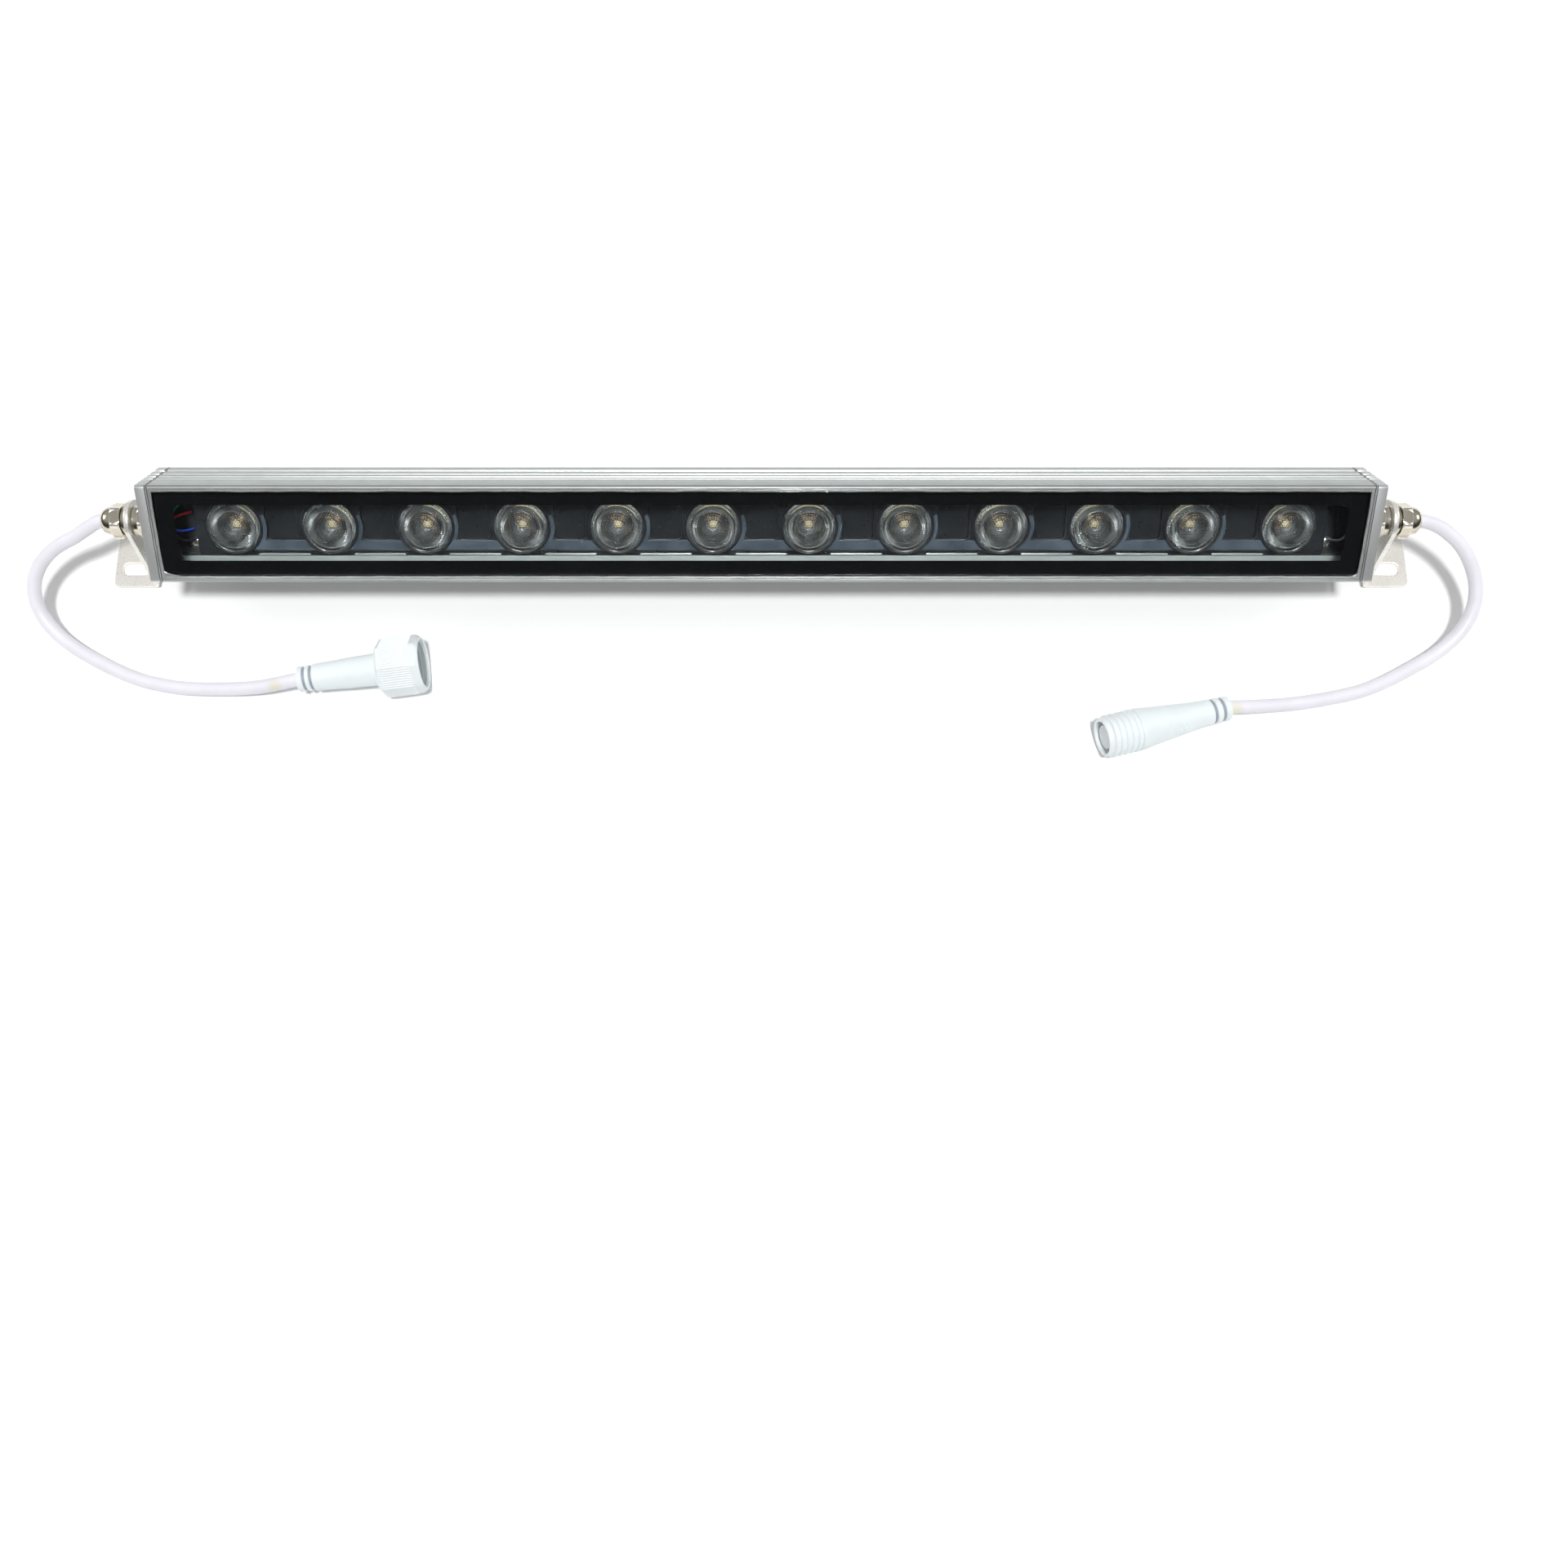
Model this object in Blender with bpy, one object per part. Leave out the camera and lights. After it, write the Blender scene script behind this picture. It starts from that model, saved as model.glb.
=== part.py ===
"""LED bar light: finned aluminium housing with twelve lenses, two swivel brackets, two corded connectors.

World frame: X along the bar, Z up, the brackets' feet flat on z = 0, metres throughout.
The housing is modelled upright (glass facing +Z) about the gland axis, then tilted as one.
"""
import math

import bmesh
import bpy
from mathutils import Matrix, Vector
from mathutils.geometry import tessellate_polygon

# ---- driving dimensions, metres --------------------------------------------------------------
CLEAR = 0.0003                 # gap left between pieces that touch
TILT = math.radians(42.0)      # glass leaned forward about the gland axis
AXIS_Y = 0.0033                # gland axis, from the centre of the footprint
AXIS_Z = 0.0336                # gland axis over the mounting surface

HALF_BAR = 0.2489              # half length of the extrusion
CAP_IN = 0.2500                # inner face of each end cap
CAP_T = 0.0040                 # end cap thickness
HALF_W = 0.0205                # half width of the front
FRONT_Z = 0.0200               # front rim, over the gland axis
BACK_Z = -0.0105               # back of the fins
RIM_IN = 0.0192                # inside of the rim round the glass
LEDGE_Z = 0.0162               # ledge under the glass
WALL_IN = 0.0160               # cavity half width over the lens frame
STEP_Z = 0.0069                # inner step beside the lens frame
STEP_IN = 0.0127               # cavity half width at the lens frame
SHELF_Z = 0.0047               # shelf that carries the lens frame
SHELF_IN = 0.0120              # cavity half width under the shelf
FLOOR_Z = -0.0033              # cavity floor
SIDE_GROOVES = ((0.0100, 0.0088), (0.0069, 0.0053), (0.0026, 0.0009), (-0.0024, -0.0050))
SIDE_DEPTH = 0.0015
BACK_GROOVES = (-0.012, -0.006, 0.0, 0.006, 0.012)
BACK_HALF = 0.0015
BACK_DEPTH = 0.0040

GLASS_HALF = (0.2480, 0.0180)
GLASS_Z = (0.0165, 0.0197)
BEAD_OUT = (0.2486, 0.0189)
BEAD_IN = (0.2483, 0.0183)
BEAD_Z = (0.0190, 0.0199)
BOARD_HALF = (0.2430, 0.0117)
BOARD_Z = (-0.0030, -0.0014)
FRAME_HALF = (0.2360, 0.0123)
FRAME_Z = (0.0050, 0.0066)
LENS_COUNT = 12
LENS_PITCH = 0.0400
LENS_HOLE_R = 0.0104
CHIP = 0.0035
CHIP_Z = (-0.0011, 0.0002)

SCREW_YZ = ((-0.0120, -0.0082), (0.0120, -0.0082))
SCREW_HOLE_R = 0.00155
THREAD_R = 0.0050              # gland thread
PASS_R = 0.00535               # clearance hole round the gland thread
BORE_R = 0.0033                # cord way through the gland
HEX_R = 0.0068                 # half the spanner size

LEG_IN = 0.2637                # inner face of the bracket's leg
SHEET = 0.0020                 # bracket sheet
BEND_R = 0.0025                # bend, to the middle of the sheet
FOOT_END = 0.2841              # outer edge of the foot
FOOT_HALF = 0.0162             # half width of the foot
FOOT_CORNER = 0.0025
LEG_TOP_R = 0.0090
SLOT_X = (0.2682, 0.2810)
SLOT_Y = 0.0079
SLOT_R = 0.0030

CORD_R = 0.00295
CORD_STEP = 0.0125
PLUG_TAIL = (-0.1967, -0.0591, 0.0099)
PLUG_MOUTH = (-0.1433, -0.0528, 0.0128)
SOCKET_TAIL = (0.1987, -0.0705, 0.0056)
SOCKET_MOUTH = (0.1424, -0.0857, 0.0108)
NUT_START = 0.0350


# ---- building blocks -------------------------------------------------------------------------
def material(name, colour, metallic, roughness, transmission=0.0):
    mat = bpy.data.materials.new("mat_" + name)
    mat.use_nodes = True
    shader = mat.node_tree.nodes["Principled BSDF"]
    shader.inputs["Base Color"].default_value = (colour[0], colour[1], colour[2], 1.0)
    shader.inputs["Metallic"].default_value = metallic
    shader.inputs["Roughness"].default_value = roughness
    shader.inputs["Transmission Weight"].default_value = transmission
    return mat


ALUMINIUM = ((0.58, 0.60, 0.59), 0.85, 0.38, 0.0)
STEEL = ((0.80, 0.78, 0.72), 1.0, 0.22, 0.0)
NICKEL = ((0.74, 0.68, 0.55), 1.0, 0.20, 0.0)
RUBBER = ((0.03, 0.03, 0.03), 0.0, 0.70, 0.0)
BLACK = ((0.012, 0.012, 0.014), 0.0, 0.45, 0.0)
CLEAR_GLASS = ((0.80, 0.84, 0.84), 0.0, 0.03, 0.9)
CLEAR_PLASTIC = ((0.90, 0.92, 0.93), 0.0, 0.08, 0.8)
SILICONE = ((0.72, 0.74, 0.72), 0.0, 0.35, 0.4)
PHOSPHOR = ((0.80, 0.66, 0.18), 0.0, 0.50, 0.0)
CORD_WHITE = ((0.80, 0.78, 0.84), 0.0, 0.42, 0.0)
SHELL_WHITE = ((0.78, 0.84, 0.87), 0.0, 0.35, 0.0)


def finish_object(name, bm, look, smooth=False):
    """Link one closed mesh as a named object with a material of its own."""
    bmesh.ops.remove_doubles(bm, verts=bm.verts, dist=1e-7)
    bmesh.ops.recalc_face_normals(bm, faces=bm.faces)
    if smooth:
        for face in bm.faces:
            face.smooth = True
        for edge in bm.edges:
            edge.smooth = edge.calc_face_angle(0.0) < math.radians(32.0)
    mesh = bpy.data.meshes.new(name)
    bm.to_mesh(mesh)
    bm.free()
    obj = bpy.data.objects.new(name, mesh)
    bpy.context.scene.collection.objects.link(obj)
    mesh.materials.append(material(name, *look))
    return obj


def tilt_with_housing(obj):
    obj.location = (0.0, AXIS_Y, AXIS_Z)
    obj.rotation_euler = (TILT, 0.0, 0.0)
    return obj


def circle(cu, cv, radius, count):
    points = []
    for k in range(count):
        angle = 2.0 * math.pi * k / count
        points.append((cu + radius * math.cos(angle), cv + radius * math.sin(angle)))
    return points


def rectangle(half_u, v0, v1):
    return [(-half_u, v0), (half_u, v0), (half_u, v1), (-half_u, v1)]


def plate(loops, low, high, axis):
    """Closed slab: loops[0] is the outline, the rest are holes; axis is "X" or "Z"."""
    bm = bmesh.new()
    rings = []
    for level in (low, high):
        level_rings = []
        for loop in loops:
            ring = []
            for u, v in loop:
                place = (level, u, v) if axis == "X" else (u, v, level)
                ring.append(bm.verts.new(place))
            level_rings.append(ring)
        rings.append(level_rings)
    triangles = tessellate_polygon([[Vector((u, v, 0.0)) for u, v in loop] for loop in loops])
    for level_rings in rings:
        flat = [vert for ring in level_rings for vert in ring]
        for triangle in triangles:
            bm.faces.new([flat[k] for k in triangle])
    for low_ring, high_ring in zip(rings[0], rings[1]):
        count = len(low_ring)
        for k in range(count):
            n = (k + 1) % count
            bm.faces.new((low_ring[k], low_ring[n], high_ring[n], high_ring[k]))
    return bm


def lathe(profile, count, closed):
    """Turn (x, radius[, flats]) points about X; flats gives the number of spanner flats."""
    bm = bmesh.new()
    rings = []
    for point in profile:
        x, radius = point[0], point[1]
        flats = point[2] if len(point) > 2 else 0
        if radius == 0.0:
            rings.append([bm.verts.new((x, 0.0, 0.0))])
            continue
        ring = []
        for k in range(count):
            angle = 2.0 * math.pi * k / count
            reach = radius
            if flats:
                sector = 2.0 * math.pi / flats
                reach = radius / math.cos((angle + sector / 2.0) % sector - sector / 2.0)
            ring.append(bm.verts.new((x, reach * math.cos(angle), reach * math.sin(angle))))
        rings.append(ring)
    pairs = list(zip(rings, rings[1:]))
    if closed:
        pairs.append((rings[-1], rings[0]))
    for near, far in pairs:
        for k in range(count):
            n = (k + 1) % count
            if len(near) == 1:
                bm.faces.new((near[0], far[n], far[k]))
            elif len(far) == 1:
                bm.faces.new((near[k], near[n], far[0]))
            else:
                bm.faces.new((near[k], near[n], far[n], far[k]))
    return bm


def tube(name, points, radius, resolution, look):
    """Round cord: a poly spline with filled ends, through the points given."""
    curve = bpy.data.curves.new(name, "CURVE")
    curve.dimensions = "3D"
    curve.bevel_depth = radius
    curve.bevel_resolution = resolution
    curve.use_fill_caps = True
    spline = curve.splines.new("POLY")
    spline.points.add(len(points) - 1)
    for target, point in zip(spline.points, points):
        target.co = (point[0], point[1], point[2], 1.0)
    spline.use_smooth = True
    obj = bpy.data.objects.new(name, curve)
    bpy.context.scene.collection.objects.link(obj)
    curve.materials.append(material(name, *look))
    return obj


def through(route, step):
    """Points along a smooth curve through the route; its first and last stretches stay straight."""
    knots = [Vector(point) for point in route]
    dense = []
    for a, b, c, d in zip(knots, knots[1:], knots[2:], knots[3:]):
        for k in range(16):
            t = k / 16.0
            dense.append(0.5 * (2.0 * b + (c - a) * t + (2.0 * a - 5.0 * b + 4.0 * c - d) * t * t
                                + (3.0 * b - a - 3.0 * c + d) * t * t * t))
    dense.append(knots[-2])
    run = [0.0]
    for a, b in zip(dense, dense[1:]):
        run.append(run[-1] + (b - a).length)
    count = max(2, round(run[-1] / step))
    picked = [knots[0]]
    for k in range(count + 1):
        want = run[-1] * k / count
        i = 0
        while i < len(run) - 2 and run[i + 1] < want:
            i += 1
        share = (want - run[i]) / max(run[i + 1] - run[i], 1e-9)
        picked.append(dense[i].lerp(dense[i + 1], min(share, 1.0)))
    return picked + [knots[-1]]


for old in list(bpy.data.objects):
    bpy.data.objects.remove(old, do_unlink=True)


# ---- housing: extrusion, caps, gaskets, cap screws ---------------------------------------------
def side_outline(depth):
    """Right-hand outer side, from the back corner up to the front rim."""
    points = [(HALF_W - 0.0012, BACK_Z), (HALF_W, BACK_Z + 0.0012)]
    for top, bottom in reversed(SIDE_GROOVES):
        points += [(HALF_W, bottom), (HALF_W - depth, bottom + 0.0003),
                   (HALF_W - depth, top - 0.0003), (HALF_W, top)]
    points += [(HALF_W, FRONT_Z - 0.0008), (HALF_W - 0.0008, FRONT_Z)]
    return points


right = side_outline(SIDE_DEPTH)
inner = [(RIM_IN, FRONT_Z), (RIM_IN, LEDGE_Z), (WALL_IN, LEDGE_Z), (WALL_IN, STEP_Z),
         (STEP_IN, STEP_Z), (STEP_IN, SHELF_Z), (SHELF_IN, SHELF_Z), (SHELF_IN, FLOOR_Z)]
half_right = right + inner
half_left = [(-y, z) for y, z in reversed(half_right)]
back = []
for centre in BACK_GROOVES:
    back += [(centre - BACK_HALF, BACK_Z), (centre - BACK_HALF, BACK_Z + BACK_DEPTH),
             (centre + BACK_HALF, BACK_Z + BACK_DEPTH), (centre + BACK_HALF, BACK_Z)]
profile = back + half_right + half_left
tilt_with_housing(finish_object("housing_extrusion", plate([profile], -HALF_BAR, HALF_BAR, "X"),
                                ALUMINIUM))

cap_right = side_outline(0.0009)
cap_outline = cap_right + [(-y, z) for y, z in reversed(cap_right)]
gland_hole = circle(0.0, 0.0, PASS_R, 24)
screw_holes = [circle(y, z, SCREW_HOLE_R, 12) for y, z in SCREW_YZ]
gasket_window = rectangle(0.0120, -0.0052, 0.0160)
for side, word in ((-1.0, "left"), (1.0, "right")):
    ends = sorted((side * CAP_IN, side * (CAP_IN + CAP_T)))
    tilt_with_housing(finish_object("end_cap_" + word,
                                    plate([cap_outline, gland_hole] + screw_holes, *ends, "X"),
                                    ALUMINIUM))
    ends = sorted((side * (HALF_BAR + CLEAR), side * (CAP_IN - CLEAR)))
    tilt_with_housing(finish_object("cap_gasket_" + word,
                                    plate([cap_outline, gasket_window] + screw_holes, *ends, "X"),
                                    RUBBER))
    face = CAP_IN + CAP_T + CLEAR
    for number, (y, z) in enumerate(SCREW_YZ, start=1):
        bm = lathe([(face - 0.0085, 0.0), (face - 0.0085, 0.0012), (face, 0.0012), (face, 0.0021),
                    (face + 0.0010, 0.0021), (face + 0.0016, 0.0014), (face + 0.0016, 0.0)], 12, False)
        if side < 0.0:
            bmesh.ops.scale(bm, vec=(-1.0, 1.0, 1.0), verts=bm.verts)
        bmesh.ops.translate(bm, vec=(0.0, y, z), verts=bm.verts)
        tilt_with_housing(finish_object("cap_screw_%s_%d" % (word, number), bm, STEEL, True))

# ---- front glass and its sealant ---------------------------------------------------------------
glass = rectangle(GLASS_HALF[0], -GLASS_HALF[1], GLASS_HALF[1])
tilt_with_housing(finish_object("glass_cover", plate([glass], *GLASS_Z, "Z"), CLEAR_GLASS))
bead = [rectangle(BEAD_OUT[0], -BEAD_OUT[1], BEAD_OUT[1]),
        rectangle(BEAD_IN[0], -BEAD_IN[1], BEAD_IN[1])]
tilt_with_housing(finish_object("glass_sealant", plate(bead, *BEAD_Z, "Z"), SILICONE))

# ---- optics: board, chips, lens frame, lenses ----------------------------------------------------
board = rectangle(BOARD_HALF[0], -BOARD_HALF[1], BOARD_HALF[1])
tilt_with_housing(finish_object("led_board", plate([board], *BOARD_Z, "Z"),
                                ((0.75, 0.77, 0.76), 0.0, 0.45, 0.0)))
centres = [LENS_PITCH * (k - (LENS_COUNT - 1) / 2.0) for k in range(LENS_COUNT)]
frame_loops = [rectangle(FRAME_HALF[0], -FRAME_HALF[1], FRAME_HALF[1])]
frame_loops += [circle(x, 0.0, LENS_HOLE_R, 24) for x in centres]
tilt_with_housing(finish_object("lens_frame", plate(frame_loops, *FRAME_Z, "Z"), BLACK))
lens_profile = [(0.0005, 0.0), (0.0005, 0.0042), (0.0070, 0.0103), (0.0070, 0.0108),
                (0.0080, 0.0108), (0.0086, 0.0090), (0.0088, 0.0)]
for number, x in enumerate(centres, start=1):
    half = CHIP / 2.0
    square = [(x - half, -half), (x + half, -half), (x + half, half), (x - half, half)]
    tilt_with_housing(finish_object("led_chip_%02d" % number, plate([square], *CHIP_Z, "Z"), PHOSPHOR))
    bm = lathe(lens_profile, 20, False)
    bmesh.ops.rotate(bm, cent=(0.0, 0.0, 0.0), matrix=Matrix.Rotation(-math.pi / 2.0, 3, "Y"),
                     verts=bm.verts)
    bmesh.ops.translate(bm, vec=(x, 0.0, 0.0), verts=bm.verts)
    tilt_with_housing(finish_object("lens_%02d" % number, bm, CLEAR_PLASTIC, True))

# ---- lead wires from the left gland to the board -------------------------------------------------
WIRES = (
    ("lead_wire_green", (0.02, 0.42, 0.16),
     ((-0.2516, 0.0009, 0.0009), (-0.2478, 0.0024, 0.0024), (-0.2448, 0.0066, 0.0040),
      (-0.2420, 0.0088, 0.0024), (-0.2395, 0.0092, -0.0004))),
    ("lead_wire_red", (0.60, 0.05, 0.04),
     ((-0.2516, 0.0009, -0.0009), (-0.2478, 0.0014, 0.0004), (-0.2448, 0.0032, 0.0032),
      (-0.2418, 0.0040, 0.0020), (-0.2395, 0.0042, -0.0004))),
    ("lead_wire_blue", (0.03, 0.12, 0.55),
     ((-0.2516, -0.0009, 0.0009), (-0.2478, -0.0014, 0.0022), (-0.2446, -0.0026, 0.0040),
      (-0.2416, -0.0030, 0.0022), (-0.2395, -0.0030, -0.0004))),
)
for name, colour, route in WIRES:
    tilt_with_housing(tube(name, through(route, 0.0020), 0.0005, 1, (colour, 0.0, 0.4, 0.0)))

# ---- cable glands --------------------------------------------------------------------------------
GLAND_PIECES = (
    ("gland_washer", ((0.2543, PASS_R), (0.2543, 0.0086), (0.2553, 0.0086), (0.2553, PASS_R)), RUBBER),
    ("gland_body", ((0.2504, BORE_R), (0.2504, THREAD_R), (0.2556, THREAD_R), (0.2556, HEX_R, 6),
                    (0.2610, HEX_R, 6), (0.2610, 0.0065), (0.2634, 0.0065), (0.2634, THREAD_R),
                    (0.2716, THREAD_R), (0.2716, BORE_R)), NICKEL),
    ("gland_clamp_ring", ((0.2660, PASS_R), (0.2660, 0.0060), (0.2680, 0.0060), (0.2680, PASS_R)),
     NICKEL),
    ("gland_seal", ((0.2719, BORE_R), (0.2719, 0.0045), (0.2740, 0.0045), (0.2740, BORE_R)), RUBBER),
    ("gland_dome_nut", ((0.2683, PASS_R), (0.2683, HEX_R, 6), (0.2725, HEX_R, 6), (0.2725, 0.0059),
                        (0.2750, 0.0057), (0.2764, 0.0050), (0.2772, 0.0041), (0.2772, BORE_R),
                        (0.2743, BORE_R), (0.2743, 0.00485), (0.27195, 0.00485),
                        (0.27195, PASS_R)), NICKEL),
)
for side, word in ((-1.0, "left"), (1.0, "right")):
    for name, gland_profile, look in GLAND_PIECES:
        bm = lathe(list(gland_profile), 24, True)
        if side < 0.0:
            bmesh.ops.scale(bm, vec=(-1.0, 1.0, 1.0), verts=bm.verts)
        tilt_with_housing(finish_object(name + "_" + word, bm, look, True))


# ---- swivel brackets: one sheet each, leg round the gland and foot turned outwards ----------------
def fold(u, v, offset, side):
    """Flat pattern to the folded sheet; v runs from the foot's outer edge up the leg."""
    flat = FOOT_END - LEG_IN - SHEET / 2.0 - BEND_R
    arc = BEND_R * math.pi / 2.0
    if v <= flat:
        x, z, nx, nz = FOOT_END - v, SHEET / 2.0, 0.0, 1.0
    else:
        turn = min((v - flat) / BEND_R, math.pi / 2.0)
        x = LEG_IN + SHEET / 2.0 + BEND_R - BEND_R * math.sin(turn)
        z = SHEET / 2.0 + BEND_R - BEND_R * math.cos(turn) + max(0.0, v - flat - arc)
        nx, nz = math.sin(turn), math.cos(turn)
    return Vector((side * (x + offset * nx), u, z + offset * nz - AXIS_Z))


def slot_loop(cu, v0, v1):
    points = []
    for k in range(9):
        angle = math.pi * k / 8.0
        points.append((cu + SLOT_R * math.cos(angle), v1 - SLOT_R + SLOT_R * math.sin(angle)))
    for k in range(9):
        angle = math.pi + math.pi * k / 8.0
        points.append((cu + SLOT_R * math.cos(angle), v0 + SLOT_R + SLOT_R * math.sin(angle)))
    return points


flat_end = FOOT_END - LEG_IN - SHEET / 2.0 - BEND_R
leg_start = flat_end + BEND_R * math.pi / 2.0
axis_v = leg_start + AXIS_Z - SHEET / 2.0 - BEND_R
foot_loop = [(FOOT_HALF, flat_end)]
for cu, start in ((FOOT_HALF - FOOT_CORNER, 0.0), (-FOOT_HALF + FOOT_CORNER, -0.5 * math.pi)):
    for k in range(5):
        angle = start - 0.5 * math.pi * k / 4.0
        foot_loop.append((cu + FOOT_CORNER * math.cos(angle), FOOT_CORNER + FOOT_CORNER * math.sin(angle)))
foot_loop.append((-FOOT_HALF, flat_end))
slots = [slot_loop(cu, FOOT_END - SLOT_X[1], FOOT_END - SLOT_X[0]) for cu in (-SLOT_Y, SLOT_Y)]
drop = axis_v - leg_start
reach = math.hypot(FOOT_HALF, drop)
tangent = math.atan2(-drop, FOOT_HALF) + math.acos(LEG_TOP_R / reach)
leg_loop = [(-FOOT_HALF, leg_start), (FOOT_HALF, leg_start)]
for k in range(13):
    angle = tangent + (math.pi - 2.0 * tangent) * k / 12.0
    leg_loop.append((LEG_TOP_R * math.cos(angle), axis_v + LEG_TOP_R * math.sin(angle)))
leg_hole = circle(0.0, axis_v, PASS_R, 24)

for side, word in ((-1.0, "left"), (1.0, "right")):
    bm = bmesh.new()
    for loops in ([foot_loop] + slots, [leg_loop, leg_hole]):
        pattern = tessellate_polygon([[Vector((u, v, 0.0)) for u, v in loop] for loop in loops])
        flat = [point for loop in loops for point in loop]
        for offset in (-SHEET / 2.0, SHEET / 2.0):
            skin = [bm.verts.new(fold(u, v, offset, side)) for u, v in flat]
            for triangle in pattern:
                bm.faces.new([skin[k] for k in triangle])
        for loop in loops:
            for (ua, va), (ub, vb) in zip(loop, loop[1:] + loop[:1]):
                if va == vb and va in (flat_end, leg_start):
                    continue
                bm.faces.new([bm.verts.new(fold(ua, va, -SHEET / 2.0, side)),
                              bm.verts.new(fold(ub, vb, -SHEET / 2.0, side)),
                              bm.verts.new(fold(ub, vb, SHEET / 2.0, side)),
                              bm.verts.new(fold(ua, va, SHEET / 2.0, side))])
    bends = [flat_end + (leg_start - flat_end) * k / 5.0 for k in range(6)]
    for va, vb in zip(bends, bends[1:]):
        for (ua, oa), (ub, ob) in (((-1, -1), (1, -1)), ((-1, 1), (1, 1)), ((-1, -1), (-1, 1)),
                                   ((1, -1), (1, 1))):
            bm.faces.new([
                bm.verts.new(fold(ua * FOOT_HALF, va, oa * SHEET / 2.0, side)),
                bm.verts.new(fold(ub * FOOT_HALF, va, ob * SHEET / 2.0, side)),
                bm.verts.new(fold(ub * FOOT_HALF, vb, ob * SHEET / 2.0, side)),
                bm.verts.new(fold(ua * FOOT_HALF, vb, oa * SHEET / 2.0, side))])
    bracket = finish_object("bracket_" + word, bm, STEEL, True)
    bracket.location = (0.0, AXIS_Y, AXIS_Z)

# ---- connectors on the cords -----------------------------------------------------------------------
PLUG_BODY = [(0.0022, 0.0), (0.0022, 0.00335), (0.0, 0.00335), (0.0, 0.0054), (0.0026, 0.0055),
             (0.0026, 0.0047), (0.0038, 0.0047), (0.0038, 0.0056), (0.0056, 0.0056), (0.0056, 0.0048),
             (0.0068, 0.0048), (0.0068, 0.0058), (0.0106, 0.0059), (0.0210, 0.0065), (0.0379, 0.0071),
             (0.0379, 0.0094), (0.0395, 0.0094), (0.0395, 0.0067), (0.0475, 0.0067), (0.0475, 0.0057),
             (0.0410, 0.0057), (0.0410, 0.0)]
PLUG_INSERT = [(0.0413, 0.0), (0.0413, 0.0053), (0.0430, 0.0053), (0.0430, 0.0)]
NUT = [(0.0, 0.0076), (0.0, 0.0104), (0.0014, 0.0117, 8), (0.0176, 0.0117, 8), (0.0189, 0.0112),
       (0.0189, 0.0101), (0.0025, 0.0101), (0.0025, 0.0076)]
SOCKET_BODY = [(0.0022, 0.0), (0.0022, 0.00335), (0.0, 0.00335), (0.0, 0.0053), (0.0028, 0.0054),
               (0.0028, 0.0046), (0.0042, 0.0046), (0.0042, 0.0055), (0.0068, 0.0055), (0.0068, 0.0047),
               (0.0082, 0.0047), (0.0082, 0.0057), (0.0124, 0.0057), (0.0240, 0.0070), (0.0360, 0.0083),
               (0.0405, 0.0091), (0.0425, 0.0091), (0.0430, 0.0083), (0.0443, 0.0091), (0.0456, 0.0083),
               (0.0469, 0.0091), (0.0482, 0.0083), (0.0495, 0.0091), (0.0508, 0.0083), (0.0521, 0.0091),
               (0.0534, 0.0083), (0.0547, 0.0091), (0.0560, 0.0083), (0.0576, 0.0082), (0.0576, 0.0070),
               (0.0495, 0.0070), (0.0495, 0.0)]
SOCKET_INSERT = [(0.0498, 0.0), (0.0498, 0.0066), (0.0510, 0.0066), (0.0510, 0.0052),
                 (0.0565, 0.0052), (0.0565, 0.0)]


def aim(tail, mouth):
    """Rotation that turns +X from the tail to the mouth, with no roll."""
    line = (Vector(mouth) - Vector(tail)).normalized()
    yaw = math.atan2(line.y, line.x)
    pitch = -math.asin(line.z)
    return (0.0, pitch, yaw), line


plug_turn, plug_line = aim(PLUG_TAIL, PLUG_MOUTH)
socket_turn, socket_line = aim(SOCKET_TAIL, SOCKET_MOUTH)
for name, shape, tail, turn in (("plug_body", PLUG_BODY, PLUG_TAIL, plug_turn),
                                ("plug_insert", PLUG_INSERT, PLUG_TAIL, plug_turn),
                                ("socket_body", SOCKET_BODY, SOCKET_TAIL, socket_turn),
                                ("socket_insert", SOCKET_INSERT, SOCKET_TAIL, socket_turn)):
    obj = finish_object(name, lathe(shape, 20, False), SHELL_WHITE, True)
    obj.location = tail
    obj.rotation_euler = turn
nut = finish_object("coupling_nut", lathe(NUT, 32, True), SHELL_WHITE, True)
nut.location = Vector(PLUG_TAIL) + NUT_START * plug_line
nut.rotation_euler = plug_turn

# ---- cords: straight through each gland, down to the surface, then along it to the connector --------
LEFT_ROUTE = ((-0.2520, AXIS_Y, AXIS_Z), (-0.2785, AXIS_Y, AXIS_Z),
              (-0.2890, -0.0012, 0.0322), (-0.3023, -0.0080, 0.0255), (-0.3114, -0.0157, 0.0180),
              (-0.3121, -0.0247, 0.0122), (-0.3038, -0.0367, 0.0062), (-0.2897, -0.0466, 0.0033),
              (-0.2692, -0.0561, 0.0031), (-0.2498, -0.0604, 0.0031), (-0.2391, -0.0610, 0.0032),
              (-0.2264, -0.0614, 0.0044), (-0.2135, -0.0613, 0.0068))
RIGHT_ROUTE = ((0.2520, AXIS_Y, AXIS_Z), (0.2785, AXIS_Y, AXIS_Z),
               (0.2911, -0.0016, 0.0316), (0.3009, -0.0119, 0.0250), (0.3056, -0.0231, 0.0174),
               (0.3030, -0.0339, 0.0108), (0.2944, -0.0430, 0.0056), (0.2773, -0.0534, 0.0034),
               (0.2624, -0.0603, 0.0031), (0.2480, -0.0643, 0.0031), (0.2301, -0.0674, 0.0031),
               (0.2159, -0.0689, 0.0038))
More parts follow.
